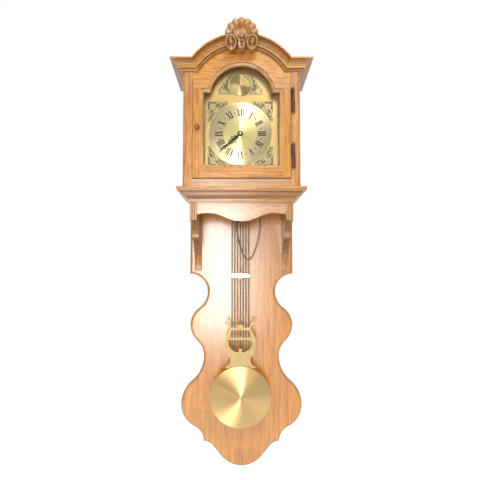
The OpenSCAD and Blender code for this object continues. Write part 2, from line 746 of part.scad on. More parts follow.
module crest_shell() {
    color("sienna") union() {
        // Fan of ribs round a smooth raised band, with a hollow inside it
        relief(0, 0, 0, 12 * shell_ribs,
            [1, 0.97, 0.88, 0.72, 0.6, 0.54, 0.52, 0.48, 0.44, 0.4, 0.25],
            [0.24, 0.36, 0.5, 0.52, 0.46, 0.42, 0.7, 0.88, 0.84, 0.5, 0.36, 0.34],
            function (a, share) shell_r
                * (!on_fan(a) ? 0.62 : share < 0.55 ? 0.96 : share < 0.65 ? 0.94 : 0.92 + 0.08 * rib(a)),
            [0.14, 0.24, 0.34, 0.3, 0.22, 0.1]);
        for (s = [-1, 1]) {
            // Oval volutes and the leaves between them
            oval_relief(s * 26.5, -22.6, -s * volute_tilt, 36, 14.8, 21.8,
                [1, 0.93, 0.8, 0.68, 0.58, 0.44, 0.28, 0.14],
                [0.4, 0.84, 0.96, 0.82, 0.5, 0.6, 0.94, 1.14, 1.2]);
            oval_relief(s * 12.2, -10, -s * 22, 16, 3, 14, [1, 0.7, 0.35], [0.55, 0.9, 1, 1]);
        }
        // Column with a pear and beads down its middle
        oval_relief(0, -21, 0, 32, 10.5, 23.2, [1, 0.86, 0.5], [0.45, 0.66, 0.62, 0.6]);
        for (b = [[-8.5, 5, 8.4], [-20.7, 4.6, 4], [-29.6, 3, 3.2], [-40.8, 3.4, 3.4]])
            oval_relief(0, b[0], 0, 20, b[1], b[2], [1, 0.86, 0.6, 0.3], [0.6, 0.98, 1.2, 1.3, 1.34]);
    }
}

// Door
module door_outline() {
    translate([-door_hw, door_head_z]) square([2 * door_hw, door_shoulder_z - door_head_z]);
    intersection() {
        translate([0, door_arch_z]) circle(r = door_arch_r, $fn = 96);
        translate([-door_hw, door_head_z]) square(2 * door_hw);
    }
}
// The glass opening, drawn in by the given margin
module opening_outline(margin) {
    hw = opening_hw - margin;
    translate([-hw, opening_z + margin])
        square([2 * hw, opening_shoulder_z - opening_z - 2 * margin]);
    intersection() {
        translate([0, door_arch_z]) circle(r = opening_r - margin, $fn = 96);
        translate([-hw, door_arch_z]) square(2 * hw);
    }
}
module door_stile() { block(opening_hw, door_hw, door_back_d, door_d, door_z, door_head_z); }
module door_stile_right() { color("peru") door_stile(); }
module door_stile_left() { color("peru") mirror([1, 0, 0]) door_stile(); }
module door_bottom_rail() {
    color("peru") block(-opening_hw, opening_hw, door_back_d, door_d - 1, door_z, opening_z);
}
module door_head() {
    color("peru") front(door_back_d, door_d) difference() {
        door_outline();
        opening_outline(0);
    }
}
module door_glass() {
    color("lightcyan", 0.4) front(glass_d, glass_d + glass_t) opening_outline(seated);
}
// Bead profile: x runs inwards from the wood, y runs towards the room
bead_profile = concat([[0, 0]], [for (i = [0:6]) let (a = 90 * i / 6)
    [bead_w * cos(a), bead_w * sin(a)]]);
module bead_stick(corners) {
    intersection() {
        children();
        front(bead_back_d - 1, bead_front_d + 1) polygon(corners);
    }
}
mitre_gap = 0.05;
module door_glass_beads() {
    g = mitre_gap;
    o = opening_hw;
    i = o - bead_w;
    arch_o = sqrt(pow(opening_r, 2) - pow(opening_shoulder_z - door_arch_z, 2));
    arch_i = sqrt(pow(opening_r - bead_w, 2) - pow(opening_shoulder_z - bead_w - door_arch_z, 2));
    top_o = opening_shoulder_z;
    top_i = top_o - bead_w;
    low_i = opening_z + bead_w;
    low_end = [2 * arch_i - arch_o, top_i - bead_w];
    high_end = [2 * arch_o - arch_i, top_o + bead_w];
    high = top_o + 2 * opening_r;
    color("sienna") {
        both_sides() bead_stick([[o, opening_z + g], [o, top_o - g], [i, top_i - g], [i, low_i + g]])
            translate([o, -(board_t + bead_back_d), opening_z - hang_z])
                linear_extrude(height = top_o - opening_z)
                    polygon([for (p = bead_profile) [-p[0], -p[1]]]);
        bead_stick([[-o, opening_z], [o, opening_z], [i, low_i], [-i, low_i]])
            across(-o, o) translate([bead_back_d, opening_z])
                polygon([for (p = bead_profile) [p[1], p[0]]]);
        both_sides() bead_stick([[arch_o + g, top_o], [o, top_o], [i, top_i], [arch_i + g, top_i]])
            across(arch_i - 1, o) translate([bead_back_d, top_o])
                polygon([for (p = bead_profile) [p[1], -p[0]]]);
        bead_stick(mirrored([[high_end[0], high], high_end, low_end]))
            facing(0, bead_back_d, door_arch_z) rotate_extrude($fn = 96)
                polygon([for (p = bead_profile) [opening_r - p[0], p[1]]]);
    }
}
module door_knob() {
    color("dimgray") facing(knob_x, door_d, knob_z) rotate_extrude()
        polygon(knob_r / 6.5 * [[0, 0], [7, 0], [7, 1.2], [5, 2.2], [2.8, 3.6], [2.6, 7], [4.6, 8.2],
            [6.2, 10], [6.5, 12], [5.6, 14], [3.4, 15.3], [1.6, 15.6], [1.2, 16.2], [0, 16.4]]);
}
knuckle_gap = 0.3;
module barrel(z0, z1, bore) {
    translate([hinge_x, -(board_t + hinge_d), z0 - hang_z]) difference() {
        cylinder(r = hinge_r, h = z1 - z0);
        translate([0, 0, -1]) cylinder(r = bore, h = z1 - z0 + 2);
    }
}
module top_view(z0, z1) {
    translate([0, -board_t, z0 - hang_z]) linear_extrude(height = z1 - z0) mirror([0, 1]) children();
}
leaf_t = 1.1;
frame_leaf_t = 0.7;
leaf_set = 3;
hinge_web = 2;
module hinge_frame_leaves() {
    color("darkgoldenrod") for (z = hinge_zs) {
        z0 = z - hinge_l / 2;
        difference() {
            union() {
                barrel(z0, z, hinge_pin_r);
                block(hinge_x - hinge_web, hinge_x + hinge_web, hood_d, hinge_d, z0, z);
                block(hinge_x - 1.5 * hinge_web, hinge_x + 3 * hinge_web, hood_d, hood_d + frame_leaf_t,
                    z0, z);
            }
            translate([hinge_x, -(board_t + hinge_d), z0 - 1 - hang_z])
                cylinder(r = hinge_pin_r, h = hinge_l);
        }
    }
}
module hinge_door_leaves() {
    color("darkgoldenrod") for (z = hinge_zs) {
        z0 = z + knuckle_gap;
        z1 = z + hinge_l / 2;
        difference() {
            union() {
                barrel(z0, z1, hinge_pin_r + running);
                top_view(z0, z1) polygon([
                    [door_hw, door_back_d + leaf_set], [door_hw + leaf_t, door_back_d + leaf_set],
                    [door_hw + leaf_t, hood_d + seated], [hinge_x, hood_d + 4 * seated], [hinge_x, hinge_d],
                    [door_hw, hinge_d - hinge_web]
                ]);
            }
            translate([hinge_x, -(board_t + hinge_d), z0 - 1 - hang_z])
                cylinder(r = hinge_pin_r + running, h = hinge_l);
        }
    }
}
pin_head_r = 3;
pin_head_h = 4.2;
// Half of a pin's rounded head: radius and height, as shares
pin_head = [[1, 0], [1, 0.4], [0.73, 0.8], [0, 1]];
module hinge_pins() {
    length = hinge_l + knuckle_gap;
    color("goldenrod") for (z = hinge_zs)
        translate([hinge_x, -(board_t + hinge_d), z - hinge_l / 2 - hang_z]) rotate_extrude()
            polygon(concat(
                [for (i = [3:-1:0]) [pin_head_r * pin_head[i][0], -pin_head_h * pin_head[i][1]]],
                [[hinge_pin_r, 0], [hinge_pin_r, length]],
                [for (h = pin_head) [pin_head_r * h[0], length + pin_head_h * h[1]]]
            ));
}
catch_h = 24;
catch_w = 16;
catch_gap = 1;
catch_plate_t = 0.7;
module catch_magnet() {
    color("dimgray")
        block(-stile_in, catch_w - stile_in, stile_back_d, door_back_d - catch_gap, knob_z - catch_h / 2,
            knob_z + catch_h / 2);
}
module catch_plate() {
    color("silver")
        block(catch_w / 8 - door_hw, catch_w * 7 / 8 - door_hw, door_back_d - catch_plate_t, door_back_d,
            knob_z - catch_h * 5 / 12, knob_z + catch_h * 5 / 12);
}

// Dial
foot_r = 2.5;
foot_low = 12;
foot_high = 22;
foot_hw = 66;
foot_at = [for (s = [-1, 1], y = [plate_low + foot_low, plate_low + plate_h - foot_high]) [s * foot_hw, y]];
module dial_plate() {
    hw = dial_w / 2;
    color("gold") difference() {
        union() {
            works(dial_d) linear_extrude(height = dial_t) {
                translate([-hw, -hw]) square(dial_w);
                translate([0, hw]) circle(r = dial_arch_r, $fn = 96);
            }
            for (p = foot_at) works(front_plate_d) translate(p)
                cylinder(r = foot_r, h = dial_d - front_plate_d + weld);
        }
        works(dial_d - 1) cylinder(r = hand_hole_r, h = dial_t + 2);
    }
}
// The ring has a narrow raised rim round its edge
module chapter_ring() {
    color("khaki") works(dial_face_d) rotate_extrude($fn = 96) polygon([
        [chapter_in_r, 0], [chapter_r, 0], [chapter_r, chapter_rim_t],
        [chapter_r - chapter_rim_w, chapter_rim_t], [chapter_r - chapter_rim_w - 0.6, chapter_t],
        [chapter_in_r, chapter_t]
    ]);
}
module dial_centre() {
    color("khaki") works(dial_face_d) difference() {
        cylinder(r = chapter_in_r - seated, h = centre_t, $fn = 96);
        translate([0, 0, -1]) cylinder(r = hand_hole_r, h = centre_t + 2);
    }
}
// Spandrels: scrolls stand in relief on a thin ground with a narrow border
spandrel_in = 33;
spandrel_out = 86;
spandrel_gap = 1.5;
border_w = 1.2;
module scrolls(strokes, ring) {
    for (p = strokes) polygon(stroke(p, 2.4, 1.1));
    translate([ring[0], ring[1]]) {
        difference() {
            circle(r = ring[2]);
            circle(r = ring[2] * 0.64);
        }
        circle(r = ring[2] * 0.38);
    }
}
module corner_field(margin) {
    difference() {
        translate([spandrel_in, spandrel_in]) square(spandrel_out - spandrel_in - margin);
        circle(r = chapter_r + spandrel_gap + margin, $fn = 96);
    }
}
corner_strokes = [
    [[76, 66], [81.8, 59], [82, 52], [77.6, 48.4], [74.4, 51.2], [76, 54.6], [78.6, 53.4]],
    [[82, 52], [83.6, 46], [81.6, 40.4], [78.9, 41.8], [80.3, 44.6]],
    [[66, 69], [61.5, 66], [64, 58.5], [68, 56.4], [70.4, 59.4], [68.4, 61.6]],
    [[82.6, 37.6], [80.8, 35.4], [81.8, 33.5]]
];
module corner_spandrel() {
    linear_extrude(height = spandrel_ground_t) corner_field(0);
    linear_extrude(height = spandrel_t) intersection() {
        corner_field(0);
        union() {
            for (flip = [0, 1]) mirror([flip, -flip]) scrolls(corner_strokes, [72, 72, 7.4]);
            difference() {
                corner_field(0);
                corner_field(border_w);
            }
        }
    }
}
module corner_spandrels() {
    color("darkgoldenrod") works(dial_face_d) for (a = [0:90:270]) rotate(a) corner_spandrel();
}
arch_spandrel_r = 59;
arch_spandrel_in = 10;
arch_field_rise = 4;
arch_field_y = dial_arch_z + arch_field_rise - dial_z;
module arch_field(margin) {
    difference() {
        intersection() {
            circle(r = arch_spandrel_r - margin, $fn = 96);
            translate([arch_spandrel_in + margin, 2 + margin]) square(arch_spandrel_r);
        }
        translate([0, boss_rise - arch_field_rise]) circle(r = boss_r + spandrel_gap + margin, $fn = 96);
    }
}
arch_strokes = [
    [[50.5, 15], [52.2, 22], [48.2, 27.2], [43.8, 25.2], [44.4, 21], [47.2, 21.6]],
    [[48.2, 27.2], [46, 33.8], [40.8, 36.2], [37.8, 32.6], [40.4, 30], [42.4, 31.8]],
    [[43.6, 35], [37, 42.4], [31, 45.4]],
    [[40.6, 7.6], [34.6, 9.4], [30.4, 6.4], [32.4, 4]], [[51.4, 8], [55, 6.4], [54.4, 4]]
];
module arch_spandrels() {
    color("darkgoldenrod") works(dial_face_d) translate([0, arch_field_y]) both_sides() {
        linear_extrude(height = spandrel_ground_t) arch_field(0);
        linear_extrude(height = spandrel_t) intersection() {
            arch_field(0);
            union() {
                scrolls(arch_strokes, [46, 11.4, 6.2]);
                difference() {
                    arch_field(0);
                    arch_field(border_w);
                }
            }
        }
    }
}
module arch_boss() {
    color("gold") facing(works_x, dial_face_d, boss_z) rotate_extrude($fn = 96)
        polygon(boss_r / 29.4 * [[0, 0], [29.4, 0], [29.4, 1.6], [28.6, 2.4], [26, 2.4], [25, 1.4],
            [18, 1.7], [0, 1.9]]);
}
// A hand with a boss, a straight shank and pairs of pierced eyes: [along, aside, radius, hole]
module hand(length, hub_r, hole_r, shank, eyes) {
    difference() {
        union() {
            circle(r = hub_r);
            polygon([[-shank, 0], [shank, 0], [shank * 0.6, length * 0.6], [0.4, length], [-0.4, length],
                [-shank * 0.6, length * 0.6]]);
            for (e = eyes, s = [-1, 1]) translate([s * e[1], e[0]]) circle(r = e[2]);
        }
        circle(r = hole_r);
        for (e = eyes, s = [-1, 1]) translate([s * e[1], e[0]]) circle(r = e[3]);
    }
}
module hour_hand() {
    color("black") works(hour_hand_d) rotate(-rest_hour_deg) linear_extrude(height = hand_t)
        hand(hour_l, 7, pipe_r, 2.4,
            [[15, 3.4, 2.6, 1.1], [24, 5.2, 4.4, 2.5], [33.6, 3.6, 3.4, 1.8], [40, 1.4, 1.6, 0.5]]);
}
module minute_hand() {
    color("black") works(minute_hand_d) rotate(-rest_minute_deg) linear_extrude(height = hand_t)
        hand(minute_l, 5.6, centre_arbor_r, 1.8,
            [[14, 2, 1.8, 0.7], [47, 1.6, 1.8, 0.8], [52, 0.9, 1.2, 0.3]]);
}
module hand_nut() {
    color("goldenrod") works(minute_hand_d + hand_t) rotate_extrude()
        polygon([[0, 0], [3.6, 0], [3.6, 1], [2.6, 1.8], [0, 2.4]]);
}

// Movement. Each wheel is drawn with a tooth pointing at the angle called phase.
addendum = 0.8;
dedendum = 1.2;
tooth_share = 0.36;
function tooth_points(teeth, m, phase) = [
    for (i = [0:teeth - 1], k = [0:3])
        let (
            pitch = 360 / teeth, half = pitch * tooth_share / 2,
            tip = m * (teeth / 2 + addendum), root = m * (teeth / 2 - dedendum),
            a = phase + i * pitch + [-1.25, -0.55, 0.55, 1.25][k] * half,
            r = k == 0 || k == 3 ? root : tip
        )
        r * [cos(a), sin(a)]
];
// Wheel blank with crossed-out windows between its spokes
module wheel_outline(teeth, m, phase, spokes) {
    rim_r = m * (teeth / 2 - dedendum) - 2.6;
    hub_r = 4.5;
    difference() {
        polygon(tooth_points(teeth, m, phase));
        difference() {
            circle(r = rim_r);
            circle(r = hub_r);
            for (i = [0:spokes - 1]) rotate(phase + 360 * i / spokes) translate([0, -1.3])
                square([rim_r + 1, 2.6]);
        }
    }
}
module wheel(teeth, m, phase, spokes) {
    linear_extrude(height = wheel_t) wheel_outline(teeth, m, phase, spokes);
}
module pinion(teeth, m, phase, length) {
    linear_extrude(height = length) polygon(tooth_points(teeth, m, phase));
}
// Arbor between the plates with a fine pivot in each plate
module arbor(r) {
    translate([0, 0, plate_inner_d + seated]) cylinder(r = r, h = plate_outer_d - plate_inner_d - 2 * seated);
    translate([0, 0, back_plate_d + seated])
        cylinder(r = pivot_r, h = front_plate_d - back_plate_d - 2 * seated);
}
module on_arbor(at) { facing(works_x + at[0], 0, dial_z + at[1]) children(); }
function bearing(from, to) = atan2(to[1] - from[1], to[0] - from[0]);
great_phase = bearing(great_at, [0, 0]);
centre_phase = bearing([0, 0], third_at);
third_phase = bearing(third_at, escape_at);
function gap_phase(phase, teeth) = phase + 180 + 180 / teeth;

module great_wheel() {
    color("goldenrod") on_arbor(great_at) {
        arbor(2.5);
        translate([0, 0, great_wheel_d]) wheel(great_teeth, great_m, great_phase, 5);
        chain_wheel();
    }
}
// Two flanges and a drum with a hollow for every second link
module chain_wheel() {
    drum_r = chain_wheel_r - link_w / 2 - seated - link_wire / 2;
    flange_r = chain_wheel_r + 1;
    for (s = [-1, 1])
        translate([0, 0, chain_wheel_d + s * (chain_gap + chain_flange_t) / 2 - chain_flange_t / 2])
            cylinder(r = flange_r, h = chain_flange_t);
    translate([0, 0, chain_wheel_d - chain_gap / 2]) linear_extrude(height = chain_gap) difference() {
        circle(r = drum_r);
        for (i = [0:7]) rotate(45 * i) translate([drum_r + 1, 0]) circle(r = 2);
    }
}
module centre_wheel() {
    color("goldenrod") on_arbor([0, 0]) {
        translate([0, 0, centre_wheel_d]) wheel(centre_teeth, centre_m, centre_phase, 5);
        translate([0, 0, great_wheel_d - 1])
            pinion(pinion_leaves, great_m, gap_phase(great_phase, pinion_leaves), wheel_t + 2);
        translate([0, 0, plate_inner_d + seated])
            cylinder(r = centre_arbor_r, h = minute_hand_d + hand_t - plate_inner_d - seated);
        translate([0, 0, back_plate_d + seated]) cylinder(r = pivot_r, h = plate_t + 1);
        translate([0, 0, cannon_d]) pinion(cannon_teeth, motion_m, motion_bearing, 3.4);
    }
}
module third_wheel() {
    color("goldenrod") on_arbor(third_at) {
        arbor(arbor_r);
        translate([0, 0, third_wheel_d]) wheel(third_teeth, third_m, third_phase, 5);
        translate([0, 0, centre_wheel_d - 1])
            pinion(pinion_leaves, centre_m, gap_phase(centre_phase, pinion_leaves), wheel_t + 2);
    }
}
escape_tooth_h = 4;
escape_points = [
    for (i = [0:escape_teeth - 1], k = [0:2])
        let (a = (i + [0, 0.45, 0.6][k]) * 360 / escape_teeth,
            r = k == 0 ? escape_r - escape_tooth_h : escape_r)
        r * [cos(a), sin(a)]
];
module escape_wheel() {
    rim_r = escape_r - escape_tooth_h - 2.4;
    color("goldenrod") on_arbor(escape_at) {
        arbor(arbor_r);
        translate([0, 0, escape_wheel_d]) linear_extrude(height = wheel_t) difference() {
            polygon(escape_points);
            difference() {
                circle(r = rim_r);
                circle(r = 4);
                for (a = [0:90:270]) rotate(a) translate([0, -1.1]) square([rim_r + 1, 2.2]);
            }
        }
        translate([0, 0, third_wheel_d - 1])
            pinion(pinion_leaves, third_m, gap_phase(third_phase, pinion_leaves), wheel_t + 2);
    }
}
// The pallets stand this far outside the escape wheel, so that both turn freely by themselves
pallet_clear = 1.6;
pallet_t = 4;
crutch_d = pendulum_d + rod_r + 0.9;
crutch_t = 1.6;
crutch_l = 72;
crutch_grip = 2.3;
module anchor() {
    color("silver") {
        on_arbor(pivot_at) {
            translate([0, 0, crutch_d]) cylinder(r = arbor_r, h = plate_outer_d - crutch_d - seated);
            translate([0, 0, plate_outer_d - 1]) cylinder(r = pivot_r, h = plate_t);
            translate([0, 0, escape_wheel_d - (pallet_t - wheel_t) / 2]) linear_extrude(height = pallet_t) {
                circle(r = 4.4);
                translate([0, -pallet_rise]) difference() {
                    circle(r = escape_r + pallet_clear + 4);
                    circle(r = escape_r + pallet_clear);
                    for (s = [-1, 1]) rotate(s * 55) translate([-40, -80]) square([80, 80]);
                    translate([-40, -80]) square([80, 80]);
                }
            }
            translate([0, 0, crutch_d]) linear_extrude(height = crutch_t) {
                circle(r = 3.6);
                translate([-2, -crutch_l]) square([4, crutch_l]);
                translate([-crutch_grip - 2, -crutch_l]) square([2 * crutch_grip + 4, 6]);
            }
            for (s = [-1, 1]) translate([s * (crutch_grip + 1) - 1, -crutch_l, pendulum_d - leader_t / 2 - 1])
                cube([2, 6, crutch_d + crutch_t - pendulum_d + leader_t / 2 + 1]);
        }
    }
}
module minute_wheel() {
    color("goldenrod") on_arbor(motion_at) difference() {
        union() {
            translate([0, 0, cannon_d + 0.4])
                wheel(minute_wheel_teeth, motion_m, gap_phase(motion_bearing, minute_wheel_teeth), 4);
            translate([0, 0, cannon_d + 0.4])
                pinion(minute_pinion_teeth, hour_m, motion_bearing + 180, hour_wheel_d + 2.6 - cannon_d);
        }
        translate([0, 0, cannon_d - 1]) cylinder(r = motion_stud_r + running, h = 12);
    }
}
motion_stud_r = 1.4;
hour_wheel_t = 1.8;
module hour_wheel() {
    color("goldenrod") on_arbor([0, 0]) difference() {
        union() {
            translate([0, 0, hour_wheel_d]) linear_extrude(height = hour_wheel_t)
                polygon(tooth_points(hour_wheel_teeth, hour_m, motion_bearing + 180 / hour_wheel_teeth));
            translate([0, 0, hour_wheel_d]) cylinder(r = pipe_r, h = hour_hand_d + hand_t - hour_wheel_d);
        }
        translate([0, 0, hour_wheel_d - 1])
            cylinder(r = centre_arbor_r + running, h = hour_hand_d + hand_t + 2 - hour_wheel_d);
    }
}
module plate(d, holes) {
    difference() {
        works(d) translate([-plate_w / 2, plate_low, 0]) cube([plate_w, plate_h, plate_t]);
        for (h = holes) works(d - 1) translate(h[0]) cylinder(r = h[1], h = plate_t + 2);
    }
}
module back_plate() {
    color("gold") plate(back_plate_d, [
        [great_at, pivot_r + running], [[0, 0], pivot_r + running], [third_at, pivot_r + running],
        [escape_at, pivot_r + running], [pivot_at, arbor_r + running]
    ]);
}
module front_plate() {
    color("gold") {
        plate(plate_outer_d, [
            [great_at, pivot_r + running], [[0, 0], centre_arbor_r + running],
            [third_at, pivot_r + running], [escape_at, pivot_r + running], [pivot_at, pivot_r + running]
        ]);
        on_arbor(motion_at) translate([0, 0, front_plate_d - weld])
            cylinder(r = motion_stud_r, h = hour_wheel_d + 3.4 - front_plate_d);
    }
}
module plate_pillars() {
    color("goldenrod") for (p = pillar_at) works(plate_inner_d) translate(p)
        rotate_extrude() polygon([[0, 0], [pillar_r, 0], [pillar_r, 4], [pillar_r - 1, 6],
            [pillar_r - 1, plate_outer_d - plate_inner_d - 6], [pillar_r, plate_outer_d - plate_inner_d - 4],
            [pillar_r, plate_outer_d - plate_inner_d], [0, plate_outer_d - plate_inner_d]]);
}

// Pendulum and its suspension. All of it but the post swings about the line through the spring's top.
post_hw = 6;
module suspension_post() {
    color("goldenrod") {
        block(works_x - post_hw, works_x + post_hw, pendulum_d - 5, crutch_d - seated,
            pivot_z + seated / 2, pivot_z + 14);
        block(works_x - post_hw, works_x + post_hw, crutch_d - seated - weld, back_plate_d,
            pivot_z + 5, pivot_z + 14);
    }
}
spring_t = 0.4;
spring_w = 5;
module suspension_spring() {
    color("silver") block(works_x - spring_t / 2, works_x + spring_t / 2, pendulum_d - spring_w / 2,
        pendulum_d + spring_w / 2, pivot_z - spring_l, pivot_z - seated / 2);
}
leader_w = 4;
bar_h = 10;
bar_t = 6;
module pendulum_leader() {
    color("gray") {
        block(works_x - 4, works_x + 4, pendulum_d - 2.5, pendulum_d + 2.2, pivot_z - spring_l - 7,
            pivot_z - spring_l);
        block(works_x - leader_w / 2, works_x + leader_w / 2, pendulum_d - leader_t / 2,
            pendulum_d + leader_t / 2, gridiron_z + bar_h, pivot_z - spring_l - 7 + weld);
    }
}
rod_foot_rise = 34;
rod_foot_z = lyre_z + rod_foot_rise;
rod_end_z = bob_z - 48;
module pendulum_rods() {
    bar_hw = rod_span / 2 + rod_r + 2;
    color("tan") {
        block(works_x - bar_hw, works_x + bar_hw, pendulum_d - bar_t / 2, pendulum_d + bar_t / 2,
            gridiron_z, gridiron_z + bar_h);
        for (i = [0:rod_count - 1]) let (middle = i == (rod_count - 1) / 2)
            translate([works_x + i * rod_pitch - rod_span / 2, -(board_t + pendulum_d),
                (middle ? rod_end_z : rod_foot_z) - hang_z])
                cylinder(r = rod_r, h = gridiron_z - (middle ? rod_end_z : rod_foot_z) + weld);
    }
}
clip_hw = 21;
clip_t = 2;
clip_point = [5, 3];
module pendulum_clip() {
    color("gold") facing(works_x, bob_d, clip_z) linear_extrude(height = clip_t) {
        translate([-clip_hw, 0]) square([2 * clip_hw, clip_h]);
        polygon([[0, -clip_point[1]], [clip_point[0], clip_h / 2], [0, clip_h + clip_point[1]],
            [-clip_point[0], clip_h / 2]]);
        for (s = [-1, 1]) translate([s * clip_hw, clip_h / 2]) {
            circle(r = clip_h * 0.36);
            translate([s * clip_h * 0.5, 0]) circle(r = clip_h * 0.2);
        }
    }
}
// Right half of the lyre's outline and of its opening, as drawn 43 wide and 121 high above its foot
lyre_hw = 43;
lyre_h = 121;
lyre_foot = 5;
function lyre_point(x, y) = [x * lyre_hw / 43, y * lyre_h / 121];
lyre_edge = spline([for (p = [
    [24, 104], [27.2, 112], [31.4, 118.4], [36.6, 121], [41, 119.6], [42.2, 116.2], [39.6, 113.2],
    [35.8, 113], [31.6, 109.6], [28.6, 104], [29, 98], [34, 89], [39.4, 79], [42.4, 68], [42.8, 57],
    [41.4, 47], [37.4, 38.6], [38.6, 35.6], [41.6, 31.4], [36.4, 29.4], [30.4, 25.6], [27, 19.6],
    [27.2, 13.6], [30, 7], [35, 1.2], [39.4, 0], [41.4, -3], [39.8, -lyre_foot]]) lyre_point(p[0], p[1])], 3);
lyre_hole = spline([for (p = [[23, 97], [27.4, 85], [31.2, 74], [32.4, 63], [30, 53], [23.4, 44], [12, 38.4],
    [5.4, 37.6]]) lyre_point(p[0], p[1])], 3);
lyre_crown = [for (p = [[0, 113], [3.4, 109.4], [8.4, 111], [7, 105], [9.4, 101.6]]) lyre_point(p[0], p[1])];
lyre_drop = [for (p = [[3.4, 41.4], [5.6, 48], [2.4, 46.4]]) lyre_point(p[0], p[1])];
module lyre_at(x, y) { for (s = [-1, 1]) let (p = lyre_point(x, y)) translate([s * p[0], p[1]]) children(); }
module lyre() {
    bar = lyre_point(34, 71);
    color("gold") facing(works_x, bob_d, lyre_z) linear_extrude(height = lyre_t) difference() {
        polygon(mirrored(concat(lyre_crown, lyre_edge)));
        difference() {
            polygon(mirrored(concat(lyre_hole, lyre_drop)));
            translate([-bar[0], bar[1]]) square([2 * bar[0], 5.4]);
            translate([0, bar[1] + 2.7]) circle(r = 4.4);
        }
        lyre_at(37.6, 117) circle(r = 1.5);
        translate([0, bob_z - lyre_z]) circle(r = bob_r + seated, $fn = 128);
    }
}
nut_r = 5;
nut_h = 5;
nut_z = bob_z - 44;
nut_clear = 1;
bob_edge = 3;
module bob() {
    color("gold") difference() {
        facing(works_x, bob_d, bob_z) rotate_extrude($fn = 128)
            polygon(concat([[0, 0], [bob_r - 1, 0], [bob_r, 0.8], [bob_r, bob_edge - 0.8]],
                [for (i = [1:8]) let (r = (bob_r - 1) * (8 - i) / 7)
                    [r, bob_edge + bob_rise * (1 - pow(r / (bob_r - 1), 1.5))]]));
        block(works_x - nut_r - nut_clear, works_x + nut_r + nut_clear, bob_d - 1,
            pendulum_d + nut_r + seated, nut_z - nut_clear, nut_z + nut_h + nut_clear);
    }
}
module rating_nut() {
    color("goldenrod") translate([works_x, -(board_t + pendulum_d), nut_z - hang_z]) difference() {
        cylinder(r = nut_r, h = nut_h);
        translate([0, 0, -1]) cylinder(r = rod_r, h = nut_h + 2);
    }
}

// Chain: it runs up to its wheel, over it and down, and its free end hangs in one open loop
weight_end_z = 750;
loop_end_d = 6.3;
loop_points = [
    [52, 57.5, 700], [51, 56.7, 668], [49, 55, 650], [46, 52.6, 633], [42, 49.5, 617], [37, 45.6, 601],
    [31, 41, 587.5], [25, 36.4, 579.7], [19, 31.8, 577.2], [13, 27.2, 579.7], [7, 22.5, 587.5],
    [1, 17.9, 601], [-4, 14, 617], [-8, 10.9, 633], [-11, 8.6, 650], [-13, 7.1, 668],
    [loop_end_x, loop_end_d, 700], [loop_end_x, loop_end_d, 760], [loop_end_x, loop_end_d, 812]
];
chain_wheel_x = works_x + great_at[0];
chain_wheel_z = dial_z + great_at[1];
chain_route = concat(
    [[chain_wheel_x - chain_wheel_r, chain_wheel_d, weight_end_z]],
    [for (i = [0:12]) let (a = 180 - 15 * i)
        [chain_wheel_x + chain_wheel_r * cos(a), chain_wheel_d, chain_wheel_z + chain_wheel_r * sin(a)]],
    spline(concat([[chain_wheel_x + chain_wheel_r - 0.2, chain_wheel_d - 0.8, seat_z],
        [53.4, 62.6, 770]], loop_points), 4)
);
chain_reach = [for (i = 0, s = 0; i < len(chain_route);
    s = i + 1 < len(chain_route) ? s + norm(chain_route[i + 1] - chain_route[i]) : s, i = i + 1) s];
chain_l = chain_reach[len(chain_reach) - 1];
link_count = floor(chain_l / link_pitch);
function route_at(s, i = 1) =
    i == len(chain_route) - 1 || chain_reach[i] >= s
        ? chain_route[i - 1] + (chain_route[i] - chain_route[i - 1])
            * (s - chain_reach[i - 1]) / (chain_reach[i] - chain_reach[i - 1])
        : route_at(s, i + 1);
link_slack = 0.3;
// Between its wheel and its loop the chain turns, so that its links lie in the loop's own plane
loop_turn = atan((loop_points[0][1] - loop_end_d) / (loop_points[0][0] - loop_end_x));
wheel_end_s = chain_reach[13];
turn_l = 140;
function turn_at(s) = loop_turn * max(0, min(1, (s - wheel_end_s) / turn_l));
module link() {
    bend_r = (link_w - link_wire) / 2;
    straight = link_pitch + link_wire + link_slack - 2 * bend_r;
    for (s = [-1, 1]) {
        translate([-straight / 2, s * bend_r, 0]) rotate([0, 90, 0])
            cylinder(r = link_wire / 2, h = straight, $fn = 24);
        translate([s * straight / 2, 0, 0]) rotate(s * 90 - 180) rotate_extrude(angle = 180, $fn = 24)
            translate([bend_r, 0]) circle(r = link_wire / 2, $fn = 24);
    }
}
module chain() {
    color("dimgray") for (k = [0:link_count - 1]) {
        a = route_at(k * link_pitch);
        b = route_at((k + 1) * link_pitch);
        turn = turn_at(k * link_pitch);
        p = (a + b) / 2;
        u0 = unit(b - a);
        u = [u0[0], -u0[1], u0[2]];
        v0 = unit(cross(u, [sin(turn), cos(turn), 0]));
        w0 = cross(u, v0);
        v = k % 2 == 0 ? v0 : w0;
        w = cross(u, v);
        multmatrix([
            [u[0], v[0], w[0], p[0]], [u[1], v[1], w[1], -(board_t + p[1])],
            [u[2], v[2], w[2], p[2] - hang_z]
        ]) link();
    }
}
